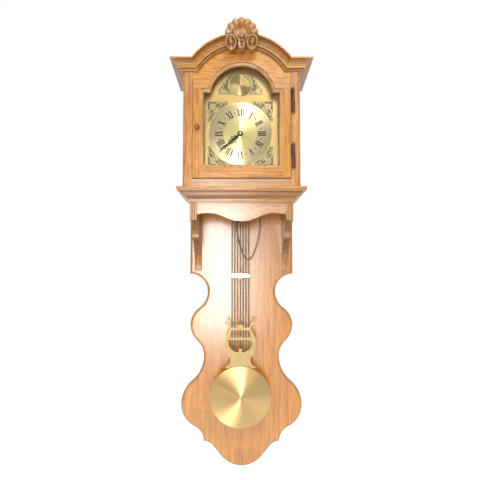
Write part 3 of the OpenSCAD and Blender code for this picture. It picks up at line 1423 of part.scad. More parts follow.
// Open hooks at the chain's ends. Each wire passes through the end link square to the link's plane.
hook_wire_r = 0.8;
hook_r = 3.2;
link_hold = link_pitch / 2 - link_slack / 2 - hook_wire_r;
module open_hook(turn, stem) {
    rotate([0, 0, turn]) {
        rotate([90, 0, 0]) rotate(90) rotate_extrude(angle = 290) translate([hook_r, 0])
            circle(r = hook_wire_r, $fn = 24);
        translate([0, 0, hook_r]) cylinder(r = hook_wire_r, h = stem);
    }
}
module chain_hooks() {
    last_mid = route_at((link_count - 0.5) * link_pitch);
    hook_z = last_mid[2] + link_hold + hook_r;
    first_mid = route_at(0.5 * link_pitch);
    color("goldenrod") {
        translate([loop_end_x, -(board_t + loop_end_d), hook_z - hang_z]) {
            open_hook((link_count % 2 == 0 ? 0 : 90) - loop_turn, seat_z - seat_t - hook_z - hook_r);
            translate([0, 0, seat_z - seat_t - hook_z - 1.5]) cylinder(r = 4.5, h = 1.5);
        }
        translate([chain_free_x, -(board_t + chain_wheel_d), first_mid[2] - link_hold - hook_r - hang_z])
            mirror([0, 0, 1]) open_hook(90, 3);
    }
}

backboard();
bracket_left();
bracket_right();
apron();
console_moulding_front();
console_returns();
seat_board();
seat_cheeks();
hood_side_left();
hood_side_right();
hood_stile_left();
hood_stile_right();
hood_bottom_rail();
hood_tympanum();
hood_roof();
cornice_front();
cornice_arch();
cornice_returns();
crest_shell();
door_stile_left();
door_stile_right();
door_bottom_rail();
door_head();
door_glass();
door_glass_beads();
door_knob();
hinge_frame_leaves();
hinge_door_leaves();
hinge_pins();
catch_magnet();
catch_plate();
dial_plate();
chapter_ring();
dial_centre();
corner_spandrels();
arch_spandrels();
arch_boss();
hour_hand();
minute_hand();
hand_nut();
front_plate();
back_plate();
plate_pillars();
great_wheel();
centre_wheel();
third_wheel();
escape_wheel();
anchor();
minute_wheel();
hour_wheel();
suspension_post();
suspension_spring();
pendulum_leader();
pendulum_rods();
pendulum_clip();
lyre();
bob();
rating_nut();
chain();
chain_hooks();
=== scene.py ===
"""Looks for the wall-hung hooded clock: oak, brass, glass, dial marks, light and camera.

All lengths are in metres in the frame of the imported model: +Z up, the front faces -Y, and the
origin is the centre of the hanging hole at the wall.
"""

import math

import bmesh
import bpy
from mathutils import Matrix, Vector


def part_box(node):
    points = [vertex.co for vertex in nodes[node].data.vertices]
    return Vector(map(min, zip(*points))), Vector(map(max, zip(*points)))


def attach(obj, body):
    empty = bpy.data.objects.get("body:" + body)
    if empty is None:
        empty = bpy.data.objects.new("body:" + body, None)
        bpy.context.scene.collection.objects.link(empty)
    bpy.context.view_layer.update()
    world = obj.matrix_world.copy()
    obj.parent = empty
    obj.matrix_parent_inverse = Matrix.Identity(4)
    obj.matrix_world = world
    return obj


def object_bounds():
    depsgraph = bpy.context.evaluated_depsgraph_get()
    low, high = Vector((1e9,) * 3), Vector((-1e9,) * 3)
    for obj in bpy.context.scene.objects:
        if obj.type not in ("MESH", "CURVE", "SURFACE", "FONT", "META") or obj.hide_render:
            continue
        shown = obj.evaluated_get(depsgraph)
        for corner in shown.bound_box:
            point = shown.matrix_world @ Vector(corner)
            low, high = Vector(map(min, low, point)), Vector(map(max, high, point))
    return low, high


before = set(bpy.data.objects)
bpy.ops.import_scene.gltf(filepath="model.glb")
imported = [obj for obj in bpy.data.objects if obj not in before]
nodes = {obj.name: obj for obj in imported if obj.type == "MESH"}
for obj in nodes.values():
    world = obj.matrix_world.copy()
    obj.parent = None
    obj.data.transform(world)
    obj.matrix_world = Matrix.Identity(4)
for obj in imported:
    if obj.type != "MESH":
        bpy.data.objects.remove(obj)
cad_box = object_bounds()


def middle(name):
    """Centre of a node's box on the front, as x and z."""
    low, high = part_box(name)
    return (low[0] + high[0]) / 2, (low[2] + high[2]) / 2


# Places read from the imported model
PLATE_LOW, PLATE_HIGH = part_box("dial_plate")
BEAD_LOW, BEAD_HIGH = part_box("door_glass_beads")
SPANDREL_LOW, SPANDREL_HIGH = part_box("corner_spandrels")
DIAL_X, DIAL_Z = middle("chapter_ring")
# The numerals lie on the ring's face, behind its raised rim
RIM_RISE = 0.001
RING_FACE_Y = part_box("chapter_ring")[0][1] + RIM_RISE


# Node helpers
def new_material(name):
    mat = bpy.data.materials.new(name)
    mat.use_nodes = True
    tree = mat.node_tree
    return mat, tree, tree.nodes["Principled BSDF"]


def add(tree, kind, **settings):
    """New node with its sockets, or else its own properties, set by name."""
    node = tree.nodes.new(kind)
    for key, value in settings.items():
        if key in node.inputs:
            node.inputs[key].default_value = value
        else:
            setattr(node, key, value)
    return node


def link(tree, a, b):
    tree.links.new(a, b)


def ramp(tree, stops, source):
    node = tree.nodes.new("ShaderNodeValToRGB")
    elements = node.color_ramp.elements
    while len(elements) < len(stops):
        elements.new(0.5)
    for element, (place, colour) in zip(elements, stops):
        element.position = place
        element.color = (*colour, 1)
    link(tree, source, node.inputs["Fac"])
    return node.outputs["Color"]


def mix(tree, fac, a, b, blend="MIX"):
    node = tree.nodes.new("ShaderNodeMix")
    node.data_type = "RGBA"
    node.blend_type = blend
    for socket, value in ((node.inputs[0], fac), (node.inputs[6], a), (node.inputs[7], b)):
        if isinstance(value, (int, float)):
            socket.default_value = value
        elif isinstance(value, tuple):
            socket.default_value = (*value, 1)
        else:
            link(tree, value, socket)
    return node.outputs[2]


def calc(tree, op, a, b=0.0):
    node = tree.nodes.new("ShaderNodeMath")
    node.operation = op
    for socket, value in zip(node.inputs, (a, b)):
        if isinstance(value, (int, float)):
            socket.default_value = value
        else:
            link(tree, value, socket)
    return node.outputs[0]


def object_place(tree, scale=(1, 1, 1), offset=(0, 0, 0)):
    """Object coordinates, scaled and moved."""
    coord = tree.nodes.new("ShaderNodeTexCoord")
    mapping = add(tree, "ShaderNodeMapping", Scale=scale, Location=offset)
    link(tree, coord.outputs["Object"], mapping.inputs["Vector"])
    return mapping.outputs["Vector"]


def parts(tree, vector):
    """A vector's parts along X, Y and Z."""
    split = tree.nodes.new("ShaderNodeSeparateXYZ")
    link(tree, vector, split.inputs[0])
    return split.outputs


def noise(tree, vector, scale, detail, rough, distort=0.0):
    node = add(
        tree, "ShaderNodeTexNoise", Scale=scale, Detail=detail, Roughness=rough, Distortion=distort
    )
    link(tree, vector, node.inputs["Vector"])
    return node.outputs["Fac"]


def spread(tree, value, low, high):
    """0 at low, 1 at high, and even between them."""
    node = tree.nodes.new("ShaderNodeMapRange")
    node.inputs["From Min"].default_value = low
    node.inputs["From Max"].default_value = high
    link(tree, value, node.inputs["Value"])
    return node.outputs["Result"]


def bump(tree, shader, height, strength, distance):
    node = add(tree, "ShaderNodeBump", Strength=strength, Distance=distance)
    link(tree, height, node.inputs["Height"])
    link(tree, node.outputs["Normal"], shader.inputs["Normal"])


# Wood
OAK_LIGHT = (0.80, 0.42, 0.15)
OAK_MID = (0.62, 0.27, 0.075)
OAK_DARK = (0.33, 0.115, 0.027)
# 1 on the two axes across the grain, by the axis that the grain follows
ACROSS = {"x": (0, 1, 1), "y": (1, 0, 1), "z": (1, 1, 0)}
# Patterns of the wood, as waves per metre along the grain and across it
STREAKS, FIGURE, FLECKS, PORES = (7, 170), (2.4, 24), (34, 150), (60, 800)
# Share of the broad figure in the tone, and the tone that gets the middle colour
FIGURE_SHARE, MID_TONE = 0.28, 0.47
# Surface direction along Y of faces that count as straight to the front, and as well aside, for
# the painted shade on faces turned aside
STRAIGHT, ASIDE = 0.985, 0.55
# Share of open sky over a face that counts as free, and over one deep in a groove, for the painted
# shade in grooves
FREE, DEEP = 0.96, 0.55


def drawn_out(tree, grain, along, across, shift):
    """Object coordinates for a pattern drawn out along the grain."""
    scale = tuple(across if turned else along for turned in ACROSS[grain])
    return object_place(tree, scale, (shift, shift * 0.37, shift * 0.71))


def facing(tree):
    """Parts of the surface's direction along X, Y and Z."""
    return parts(tree, tree.nodes.new("ShaderNodeNewGeometry").outputs["Normal"])


def turned_aside(tree):
    """0 on faces that look straight to the front and 1 on those that look well aside."""
    return spread(tree, calc(tree, "ABSOLUTE", facing(tree)[1]), STRAIGHT, ASIDE)


def recess(tree, reach):
    """1 in grooves and inner corners narrower than the reach, and 0 on open faces."""
    node = add(
        tree, "ShaderNodeAmbientOcclusion", Distance=reach, samples=8, only_local=True
    )
    return spread(tree, node.outputs["AO"], FREE, DEEP)


def oak(
    name, grain, shift, light=OAK_LIGHT, mid=OAK_MID, dark=OAK_DARK, rough=0.36, coat=0.25,
    aside_shade=0.35, fine=1.0, groove=0.0, sharp=1.0, coat_ior=1.5, under=0.0,
):
    """Lacquered oak: broad figure, fine streaks, light flecks and short dark pores.

    shift moves the pattern, fine narrows it and sharp raises its contrast. The settings for faces
    aside, grooves and undersides paint shade into the colour: they darken faces that look aside,
    grooves up to the groove width and faces that look down.
    """
    mat, tree, shader = new_material(name)
    along, across = STREAKS
    streaks = drawn_out(tree, grain, along * fine, across * fine, shift)
    streaks = noise(tree, streaks, 1.0, 4, 0.6, 0.3)
    figure = noise(tree, drawn_out(tree, grain, *FIGURE, shift), 1.0, 2, 0.5, 1.2)
    flecks = drawn_out(tree, grain, FLECKS[0], FLECKS[1] * fine, shift + 5)
    flecks = noise(tree, flecks, 1.0, 1, 0.4)
    pores = noise(tree, drawn_out(tree, grain, *PORES, shift + 9), 1.0, 1, 0.4)

    share = FIGURE_SHARE / fine
    tone = calc(
        tree, "ADD", calc(tree, "MULTIPLY", streaks, 1 - share),
        calc(tree, "MULTIPLY", figure, share),
    )
    stops = [(MID_TONE - 0.12 * sharp, dark), (MID_TONE, mid), (MID_TONE + 0.11 * sharp, light)]
    colour = ramp(tree, stops, tone)
    fleck = calc(tree, "MULTIPLY", spread(tree, flecks, 0.60, 0.72), 0.55)
    colour = mix(tree, fleck, colour, light)
    pore = spread(tree, pores, 0.56, 0.68)
    colour = mix(tree, calc(tree, "MULTIPLY", pore, 0.5), colour, dark)

    # Painted shade: the wood darkens where it turns away from the front
    shade_colour = tuple(c * 0.6 for c in dark)
    colour = mix(tree, calc(tree, "MULTIPLY", turned_aside(tree), aside_shade), colour, shade_colour)
    # Painted shade on faces that look down
    if under:
        downward = spread(tree, facing(tree)[2], 0.0, -0.7)
        colour = mix(tree, calc(tree, "MULTIPLY", downward, under), colour, dark)
    # Painted shade in grooves and inner corners
    if groove:
        colour = mix(tree, calc(tree, "MULTIPLY", recess(tree, groove), 0.85), colour, shade_colour)
    link(tree, colour, shader.inputs["Base Color"])

    shader.inputs["Roughness"].default_value = rough
    shader.inputs["Coat Weight"].default_value = coat
    shader.inputs["Coat Roughness"].default_value = 0.22
    shader.inputs["Coat IOR"].default_value = coat_ior
    height = calc(tree, "SUBTRACT", streaks, calc(tree, "MULTIPLY", pore, 0.6))
    bump(tree, shader, height, 0.15, 0.0004)
    return mat


# Metal, paint and glass
# Range of the roughness over one piece of metal
UNEVEN = 0.06


def metal(name, colour, rough, scale=60.0, dull=0.25):
    """Metal with a slightly uneven tone and finish."""
    mat, tree, shader = new_material(name)
    cloud = noise(tree, object_place(tree), scale, 4, 0.6)
    dulled = tuple(c * (1 - dull) for c in colour)
    link(tree, ramp(tree, [(0.35, dulled), (0.65, colour)], cloud), shader.inputs["Base Color"])
    polish = calc(tree, "ADD", calc(tree, "MULTIPLY", cloud, UNEVEN), rough - UNEVEN / 2)
    link(tree, polish, shader.inputs["Roughness"])
    shader.inputs["Metallic"].default_value = 1
    bump(tree, shader, cloud, 0.05, 0.0002)
    return mat


def paint(name, colour, rough):
    """Paint or plastic with a slightly uneven tone and finish."""
    mat = metal(name, colour, rough)
    mat.node_tree.nodes["Principled BSDF"].inputs["Metallic"].default_value = 0
    return mat


def polar(tree, centre):
    """Radius and angle about a point of the front, from object coordinates."""
    place = parts(tree, object_place(tree))
    dx = calc(tree, "SUBTRACT", place[0], centre[0])
    dz = calc(tree, "SUBTRACT", place[2], centre[1])
    square = calc(tree, "ADD", calc(tree, "MULTIPLY", dx, dx), calc(tree, "MULTIPLY", dz, dz))
    return calc(tree, "SQRT", square), calc(tree, "ARCTAN2", dz, dx)


def turned_metal(
    name, colour, rough, centre, groove=900.0, dull=0.15, slant=0.0, metal_share=1.0
):
    """Metal with fine marks that run round a centre.

    colour is one colour, or a list of radius and colour from the centre out.
    """
    mat, tree, shader = new_material(name)
    radius, angle = polar(tree, centre)
    join = tree.nodes.new("ShaderNodeCombineXYZ")
    link(tree, calc(tree, "MULTIPLY", radius, groove), join.inputs[0])
    link(tree, calc(tree, "MULTIPLY", angle, 0.5), join.inputs[1])
    marks = noise(tree, join.outputs[0], 1.0, 3, 0.6)
    if isinstance(colour, list):
        reach = colour[-1][0]
        stops = [(place / reach, tone) for place, tone in colour]
        colour = ramp(tree, stops, calc(tree, "DIVIDE", radius, reach))
    shade = ramp(tree, [(0.3, (1 - dull,) * 3), (0.7, (1, 1, 1))], marks)
    link(tree, mix(tree, 1.0, colour, shade, "MULTIPLY"), shader.inputs["Base Color"])
    shader.inputs["Metallic"].default_value = metal_share
    shader.inputs["Roughness"].default_value = rough
    shader.inputs["Anisotropic"].default_value = 1.0
    # Marks that run straight round have no slant; a slanted mark winds out like a screw
    shader.inputs["Anisotropic Rotation"].default_value = 0.25 + slant
    tangent = tree.nodes.new("ShaderNodeTangent")
    tangent.direction_type = "RADIAL"
    tangent.axis = "Y"
    link(tree, tangent.outputs["Tangent"], shader.inputs["Tangent"])
    bump(tree, shader, marks, 0.1, 0.0002)
    return mat


def relief_metal(name, low_colour, high_colour, low_y, high_y, rough):
    """Cast metal whose low places are dark and whose high places are rubbed bright."""
    mat, tree, shader = new_material(name)
    height = spread(tree, parts(tree, object_place(tree))[1], low_y, high_y)
    cloud = noise(tree, object_place(tree), 260, 3, 0.6)
    uneven = calc(tree, "MULTIPLY", calc(tree, "SUBTRACT", cloud, 0.5), 0.7)
    worn = calc(tree, "ADD", height, uneven)
    colour = ramp(tree, [(0.2, low_colour), (0.8, high_colour)], worn)
    link(tree, colour, shader.inputs["Base Color"])
    shader.inputs["Metallic"].default_value = 1
    shader.inputs["Roughness"].default_value = rough
    bump(tree, shader, cloud, 0.15, 0.0003)
    return mat


def glass():
    """Thin old pane with a faint ripple."""
    mat, tree, shader = new_material("glass_clear")
    shader.inputs["Base Color"].default_value = (0.98, 0.99, 0.98, 1)
    shader.inputs["Roughness"].default_value = 0.02
    shader.inputs["IOR"].default_value = 1.1
    shader.inputs["Transmission Weight"].default_value = 1
    bump(tree, shader, noise(tree, object_place(tree), 6.0, 1, 0.4), 0.01, 0.0005)
    return mat


oak_x = oak(
    "oak_x", "x", 0.0, light=(0.95, 0.47, 0.12), mid=(0.82, 0.36, 0.06),
    fine=1.8, sharp=1.6, under=0.3,
)
oak_moulding = oak(
    "oak_moulding", "x", 41.0,
    light=(0.80, 0.38, 0.09), mid=(0.62, 0.26, 0.04), dark=(0.28, 0.10, 0.015),
    coat=1.0, aside_shade=0.5, fine=1.8, groove=0.012, sharp=1.5, under=0.35,
)
oak_cornice = oak(
    "oak_cornice", "x", 43.0,
    light=(0.95, 0.47, 0.10), mid=(0.80, 0.37, 0.055), dark=(0.28, 0.10, 0.01),
    coat=0.6, aside_shade=0.2, fine=1.8, groove=0.012, sharp=1.5, under=0.55,
)
# Painted shade: the cornice's arch has darker tones than its level front
shaded_oak_arch = oak(
    "shaded_oak_arch", "x", 67.0,
    light=(0.86, 0.42, 0.08), mid=(0.68, 0.30, 0.04), dark=(0.25, 0.085, 0.008),
    coat=0.4, aside_shade=0.3, fine=1.8, groove=0.012, sharp=1.5, under=0.6,
)
oak_rail = oak(
    "oak_rail", "x", 47.0, light=(0.78, 0.42, 0.16), mid=(0.62, 0.29, 0.09),
    rough=0.3, coat=1.0, sharp=1.5, coat_ior=2.0,
)
oak_z = oak("oak_z", "z", 3.0, fine=1.6, sharp=1.3)
oak_side = oak("oak_side", "z", 19.0, aside_shade=0.08, fine=1.6, sharp=1.3)
oak_y = oak("oak_y", "y", 7.0, aside_shade=0.1, fine=1.8, groove=0.012, sharp=1.4, under=0.3)
oak_board = oak(
    "oak_board", "z", 11.0,
    light=(0.84, 0.36, 0.045), mid=(0.68, 0.24, 0.012), dark=(0.36, 0.105, 0.004),
    rough=0.3, coat=1.0, aside_shade=0.95, fine=1.8, sharp=1.45, coat_ior=1.75,
)
oak_apron = oak(
    "oak_apron", "x", 13.0, light=(0.84, 0.50, 0.24), mid=(0.72, 0.38, 0.15),
    coat=1.0, aside_shade=0.7, fine=1.6, sharp=1.9, coat_ior=1.8, under=0.6,
)
oak_door_x = oak(
    "oak_door_x", "x", 31.0, light=(0.88, 0.43, 0.12), mid=(0.70, 0.29, 0.05),
    coat=0.6, fine=1.8, sharp=1.6,
)
oak_door_z = oak(
    "oak_door_z", "z", 37.0, light=(0.84, 0.39, 0.08), mid=(0.64, 0.25, 0.03),
    fine=1.6, sharp=1.4,
)
# Painted shade: the brackets' oak has darker tones than the rest of the case
shaded_oak_bracket = oak(
    "shaded_oak_bracket", "z", 17.0,
    light=(0.72, 0.36, 0.10), mid=(0.50, 0.21, 0.045), dark=(0.22, 0.08, 0.015),
    groove=0.02, under=0.65,
)
oak_carved = oak(
    "oak_carved", "z", 21.0,
    light=(0.86, 0.44, 0.15), mid=(0.70, 0.32, 0.08), dark=(0.22, 0.08, 0.014),
    rough=0.3, coat=0.8, groove=0.009, sharp=1.8, under=0.4,
)
oak_bead = oak(
    "oak_bead", "z", 23.0, light=(0.86, 0.50, 0.20), mid=(0.68, 0.34, 0.11),
    coat=0.8, aside_shade=0.3,
)
knob_wood = oak(
    "knob_wood", "y", 53.0,
    light=(0.40, 0.17, 0.04), mid=(0.28, 0.10, 0.02), dark=(0.1, 0.035, 0.01), coat=0.4,
)
pine = oak(
    "pine", "x", 29.0,
    light=(0.78, 0.58, 0.34), mid=(0.70, 0.49, 0.27), dark=(0.55, 0.34, 0.17),
    rough=0.6, coat=0, aside_shade=0.1,
)
pine_roof = oak(
    "pine_roof", "y", 59.0,
    light=(0.76, 0.55, 0.32), mid=(0.70, 0.49, 0.27), dark=(0.60, 0.39, 0.20),
    rough=0.6, coat=0, aside_shade=0, sharp=1.8,
)
clear = glass()

dial_brass = metal("dial_brass", (0.74, 0.51, 0.20), 0.38, scale=25.0, dull=0.12)
# Radius and tone, from the centre out: the numerals' band, a dark line, a band that gets duller
# and the bright rim
RING_ZONES = [
    (0.0430, (1.0, 0.84, 0.52)),
    (0.0668, (0.98, 0.82, 0.50)),
    (0.0672, (0.40, 0.28, 0.14)),
    (0.0678, (0.98, 0.80, 0.47)),
    (0.0796, (0.88, 0.70, 0.40)),
    (0.0804, (1.0, 0.96, 0.76)),
    (0.0850, (1.0, 0.96, 0.76)),
]
ring_brass = turned_metal("ring_brass", RING_ZONES, 0.36, (DIAL_X, DIAL_Z), dull=0.12)
centre_brass = turned_metal(
    "centre_brass", (1.0, 0.86, 0.38), 0.32, (DIAL_X, DIAL_Z), metal_share=0.65
)
boss_brass = turned_metal(
    "boss_brass", (0.55, 0.41, 0.19), 0.3, middle("arch_boss"), dull=0.4
)
spandrel_brass = relief_metal(
    "spandrel_brass", (0.055, 0.042, 0.016), (0.64, 0.53, 0.30),
    SPANDREL_HIGH[1], SPANDREL_LOW[1], 0.34,
)
polished_brass = metal("polished_brass", (0.97, 0.92, 0.80), 0.16, scale=30.0, dull=0.06)
lyre_brass = metal("lyre_brass", (0.44, 0.31, 0.145), 0.46, scale=40.0, dull=0.2)
bob_brass = turned_metal(
    "bob_brass", (0.61, 0.415, 0.185), 0.33, middle("bob"),
    groove=1600.0, dull=0.08, slant=0.065,
)
movement_brass = metal("movement_brass", (0.80, 0.61, 0.29), 0.3, scale=80.0)
rod_brass = metal("rod_brass", (0.24, 0.20, 0.13), 0.34, scale=30.0)
steel = metal("steel", (0.62, 0.62, 0.62), 0.3)
hinge_brass = metal("hinge_brass", (0.20, 0.12, 0.08), 0.34, dull=0.5)
pin_brass = metal("pin_brass", (0.30, 0.20, 0.12), 0.28, dull=0.3)
hand_steel = metal("hand_steel", (0.10, 0.07, 0.045), 0.38)
chain_steel = metal("chain_steel", (0.34, 0.26, 0.16), 0.35)
catch_plastic = paint("catch_plastic", (0.12, 0.08, 0.06), 0.5)
numeral_paint = paint("numeral_paint", (0.05, 0.03, 0.018), 0.6)
mark_paint = paint("mark_paint", (0.30, 0.20, 0.10), 0.5)

finish = {
    "backboard": oak_board,
    "bracket_left": shaded_oak_bracket,
    "bracket_right": shaded_oak_bracket,
    "apron": oak_apron,
    "console_moulding_front": oak_moulding,
    "console_returns": oak_y,
    "seat_board": pine,
    "seat_cheeks": pine,
    "hood_side_left": oak_side,
    "hood_side_right": oak_side,
    "hood_stile_left": oak_z,
    "hood_stile_right": oak_z,
    "hood_bottom_rail": oak_rail,
    "hood_tympanum": oak_x,
    "hood_roof": pine_roof,
    "cornice_front": oak_cornice,
    "cornice_arch": shaded_oak_arch,
    "cornice_returns": oak_y,
    "crest_shell": oak_carved,
    "door_stile_left": oak_door_z,
    "door_stile_right": oak_door_z,
    "door_bottom_rail": oak_door_x,
    "door_head": oak_door_x,
    "door_glass": clear,
    "door_glass_beads": oak_bead,
    "door_knob": knob_wood,
    "hinge_frame_leaves": hinge_brass,
    "hinge_door_leaves": hinge_brass,
    "hinge_pins": pin_brass,
    "catch_magnet": catch_plastic,
    "catch_plate": steel,
    "dial_plate": dial_brass,
    "chapter_ring": ring_brass,
    "dial_centre": centre_brass,
    "corner_spandrels": spandrel_brass,
    "arch_spandrels": spandrel_brass,
    "arch_boss": boss_brass,
    "hour_hand": hand_steel,
    "minute_hand": hand_steel,
    "anchor": steel,
    "suspension_spring": steel,
    "pendulum_leader": steel,
    "pendulum_rods": rod_brass,
    "pendulum_clip": polished_brass,
    "lyre": lyre_brass,
    "bob": bob_brass,
    "chain": chain_steel,
}
PLAIN_BRASS = [
    "hand_nut", "front_plate", "back_plate", "plate_pillars", "great_wheel", "centre_wheel",
    "third_wheel", "escape_wheel", "minute_wheel", "hour_wheel", "suspension_post",
    "rating_nut", "chain_hooks",
]
finish |= dict.fromkeys(PLAIN_BRASS, movement_brass)
for name, material in finish.items():
    mesh = nodes[name].data
    mesh.materials.clear()
    mesh.materials.append(material)


# Dial marks
def mesh_object(name, verts, faces, material, body, slot):
    mesh = bpy.data.meshes.new(name)
    mesh.from_pydata(verts, [], faces)
    work = bmesh.new()
    work.from_mesh(mesh)
    bmesh.ops.recalc_face_normals(work, faces=work.faces)
    work.to_mesh(mesh)
    work.free()
    mesh.materials.append(material)
    obj = bpy.data.objects.new(name, mesh)
    bpy.context.scene.collection.objects.link(obj)
    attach(obj, body)


# Widths of the thick and the thin strokes, and the serifs' width and height
STROKE, HAIR, SERIF_W, SERIF_H = 0.0031, 0.0012, 0.0046, 0.0008
LETTER_W = {"I": 0.0046, "V": 0.0092, "X": 0.0100}
NUMERALS = ["XII", "I", "II", "III", "IV", "V", "VI", "VII", "VIII", "IX", "X", "XI"]
# Radius of the numerals' feet and of the lozenges' inner tips, and their heights
NUMERAL_R, NUMERAL_H = 0.0458, 0.0196
LOZENGE_R, LOZENGE_H, LOZENGE_W = 0.0520, 0.0075, 0.0032
PAINT_T = 0.00015


def bar(x0, y0, x1, y1, width):
    half = width / 2
    return [(x0 - half, y0), (x0 + half, y0), (x1 + half, y1), (x1 - half, y1)]


def serif(x, y):
    return bar(x, y, x, y + SERIF_H, SERIF_W)


def glyph(letter, x, height):
    """Outline quads of one letter centred on x, from 0 to height."""
    half = LETTER_W[letter] / 2 - STROKE / 2
    if letter == "I":
        return [bar(x, 0, x, height, STROKE), serif(x, 0), serif(x, height - SERIF_H)]
    if letter == "V":
        return [
            bar(x, 0, x - half, height, STROKE),
            bar(x, 0, x + half, height, HAIR),
            serif(x - half, height - SERIF_H),
            serif(x + half, height - SERIF_H),
        ]
    quads = [
        bar(x + half, 0, x - half, height, STROKE),
        bar(x - half, 0, x + half, height, HAIR),
    ]
    for end in (0, height - SERIF_H):
        quads += [serif(x - half, end), serif(x + half, end)]
    return quads


def print_quad(verts, faces, quad, hour, foot_r):
    """One mark of paint on the ring's face, drawn upright at XII and turned to its hour."""
    a = math.radians(30 * hour)
    n = len(verts)
    for y in (RING_FACE_Y, RING_FACE_Y - PAINT_T):
        for u, v in quad:
            x = DIAL_X + (foot_r + v) * math.sin(a) + u * math.cos(a)
            z = DIAL_Z + (foot_r + v) * math.cos(a) - u * math.sin(a)
            verts.append((x, y, z))
    faces += [(n + 3, n + 2, n + 1, n), (n + 4, n + 5, n + 6, n + 7)]
    faces += [(n + k, n + (k + 1) % 4, n + 4 + (k + 1) % 4, n + 4 + k) for k in range(4)]


def hour_numerals():
    verts, faces = [], []
    for hour, word in enumerate(NUMERALS):
        x = -sum(LETTER_W[letter] for letter in word) / 2
        for letter in word:
            for quad in glyph(letter, x + LETTER_W[letter] / 2, NUMERAL_H):
                print_quad(verts, faces, quad, hour, NUMERAL_R)
            x += LETTER_W[letter]
    return verts, faces


def half_hour_marks():
    """A small lozenge between each two numerals."""
    verts, faces = [], []
    side = LOZENGE_W / 2
    lozenge = [(0, 0), (side, LOZENGE_H / 2), (0, LOZENGE_H), (-side, LOZENGE_H / 2)]
    for hour in range(12):
        print_quad(verts, faces, lozenge, hour + 0.5, LOZENGE_R)
    return verts, faces


mesh_object("hour_numerals", *hour_numerals(), numeral_paint, "case", "hand_steel")
mesh_object("half_hour_marks", *half_hour_marks(), mark_paint, "case", "hand_steel")

# Thickness of the dial plate and radius of its arch
PLATE_T, PLATE_R = 0.002, 0.078
# The brass frame behind it: thickness, lap under the plate, reach past the door's bead on each
# side, radius of its arch, rise of the arch over the bead, and rise of its shoulders
FRAME_T, FRAME_LAP, FRAME_REACH = 0.001, 0.003, 0.0095
FRAME_R, FRAME_RISE, SHOULDER_RISE = 0.098, 0.012, 0.024
ARCH_STEPS = 40


def arched(left, right, low, shoulder, centre, radius):
    """Outline of an arched plate from its lower left corner, as x and z."""
    x, z = centre
    start = math.asin((shoulder - z) / radius)
    arch = [start + (math.pi - 2 * start) * k / ARCH_STEPS for k in range(ARCH_STEPS + 1)]
    points = [(left, low), (right, low), (right, shoulder)]
    points += [(x + radius * math.cos(a), z + radius * math.sin(a)) for a in arch]
    return points + [(left, shoulder)]


def dial_surround():
    """Thin brass frame on the dial plate's back that fills the view beside the plate."""
    low = PLATE_LOW[2]
    arch_z = PLATE_HIGH[2] - PLATE_R
    inner = arched(
        PLATE_LOW[0] + FRAME_LAP, PLATE_HIGH[0] - FRAME_LAP, low + FRAME_LAP,
        arch_z - FRAME_LAP, (DIAL_X, arch_z), PLATE_R - FRAME_LAP,
    )
    bead_r = (BEAD_HIGH[0] - BEAD_LOW[0]) / 2
    top = BEAD_HIGH[2] + FRAME_RISE
    outer = arched(
        -bead_r - FRAME_REACH, bead_r + FRAME_REACH, low,
        arch_z + SHOULDER_RISE, (0, top - FRAME_R), FRAME_R,
    )
    front = PLATE_LOW[1] + PLATE_T
    outline = inner + outer
    verts = [(x, y, z) for y in (front, front + FRAME_T) for x, z in outline]
    n = len(inner)
    faces = []
    for k in range(n):
        m = (k + 1) % n
        faces += [(k, m, n + m, n + k), (2 * n + k, 3 * n + k, 3 * n + m, 2 * n + m)]
        faces += [(k, 2 * n + k, 2 * n + m, m), (n + k, n + m, 3 * n + m, 3 * n + k)]
    return verts, faces


mesh_object("dial_surround", *dial_surround(), dial_brass, "case", "dial_brass")

# Stage
FLOOR_SIZE, FLOOR_DROP = 8, 0.35
WHITE = (1, 1, 1)


def light_path(tree):
    """What the camera looks at, and what it, reflections and clear glass look at."""
    path = tree.nodes.new("ShaderNodeLightPath")
    by_camera = path.outputs["Is Camera Ray"]
    glossy, through = path.outputs["Is Glossy Ray"], path.outputs["Is Transmission Ray"]
    return by_camera, calc(tree, "MAXIMUM", by_camera, calc(tree, "MAXIMUM", glossy, through))


def pale_stage():
    """Pale surface that is seen about white and keeps its shadows."""
    mat, tree, shader = new_material("pale_stage")
    shader.inputs["Base Color"].default_value = (0.5, 0.5, 0.5, 1)
    shader.inputs["Roughness"].default_value = 0.9
    shader.inputs["Emission Color"].default_value = (*WHITE, 1)
    strength = calc(tree, "MULTIPLY", light_path(tree)[1], 0.8)
    link(tree, strength, shader.inputs["Emission Strength"])
    return mat


def floor_plane(z):
    mesh = bpy.data.meshes.new("floor")
    half = FLOOR_SIZE / 2
    corners = [(-half, -half, 0), (half, -half, 0), (half, half, 0), (-half, half, 0)]
    mesh.from_pydata(corners, [], [(0, 1, 2, 3)])
    mesh.materials.append(pale_stage())
    obj = bpy.data.objects.new("floor", mesh)
    obj.location = (0, 0, z)
    bpy.context.scene.collection.objects.link(obj)
    return obj


floor = floor_plane(cad_box[0][2] - FLOOR_DROP)

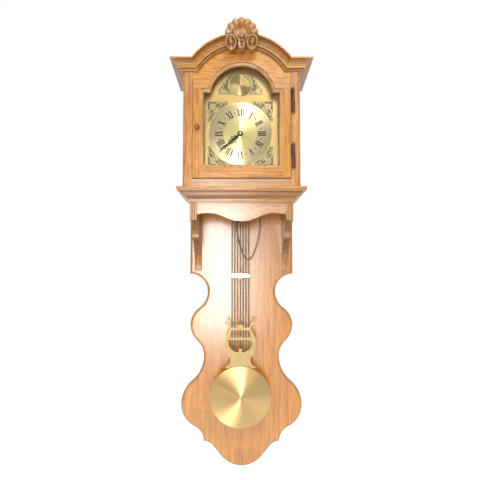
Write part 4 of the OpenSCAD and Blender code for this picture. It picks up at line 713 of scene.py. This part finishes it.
# White to the camera, a dimmer room in front of the object for the metal to reflect, and light
# from above. The low and high colours are those under and over the object.
ROOM_LOW, ROOM_HIGH = (0.24, 0.22, 0.19), (0.80, 0.78, 0.74)
LIGHT_LOW, LIGHT_HIGH = (0.09, 0.085, 0.08), (0.92, 0.92, 0.92)


def studio():
    world = bpy.data.worlds.new("studio")
    world.use_nodes = True
    tree = world.node_tree
    background = tree.nodes["Background"]
    coord = tree.nodes.new("ShaderNodeTexCoord")
    direction = parts(tree, coord.outputs["Generated"])
    depth, height = direction[1], direction[2]
    room = mix(tree, spread(tree, height, -0.15, 0.4), ROOM_LOW, ROOM_HIGH)
    backdrop = mix(tree, spread(tree, depth, -0.25, 0.3), room, WHITE)
    ambient = mix(tree, spread(tree, height, -0.4, 0.7), LIGHT_LOW, LIGHT_HIGH)
    by_camera, by_any_view = light_path(tree)
    shown = mix(tree, by_camera, mix(tree, by_any_view, ambient, backdrop), WHITE)
    link(tree, shown, background.inputs["Color"])
    background.inputs["Strength"].default_value = 1
    return world


def lamp(name, place, target, size, power):
    data = bpy.data.lights.new(name, "AREA")
    data.shape = "RECTANGLE"
    data.size, data.size_y = size
    data.energy = power
    obj = bpy.data.objects.new(name, data)
    obj.location = place
    direction = Vector(target) - Vector(place)
    obj.rotation_euler = direction.to_track_quat("-Z", "Y").to_euler()
    bpy.context.scene.collection.objects.link(obj)


scene = bpy.context.scene
scene.world = studio()
# The key is a tall softbox close to the camera's left, and the second lamp is high on the right
lamp("key", (-0.15, -2.0, -0.55), (0, 0, -0.5), (0.36, 0.9), 15)
lamp("high", (0.5, -2.0, 1.15), (0, 0, -0.45), (0.9, 0.9), 11)

# Camera: placed by the perspective of the photograph
CAMERA_PLACE, CAMERA_RISE = (-0.004, -1.318, -0.5043), 3.41
SENSOR_MM, LENS_MM = 36, 33.96
camera_data = bpy.data.cameras.new("camera")
camera_data.sensor_width = SENSOR_MM
camera_data.lens = LENS_MM
camera = bpy.data.objects.new("camera", camera_data)
camera.location = CAMERA_PLACE
camera.rotation_euler = (math.radians(90 + CAMERA_RISE), 0, 0)
scene.collection.objects.link(camera)
bpy.context.scene.camera = camera

scene.view_settings.view_transform = "Standard"
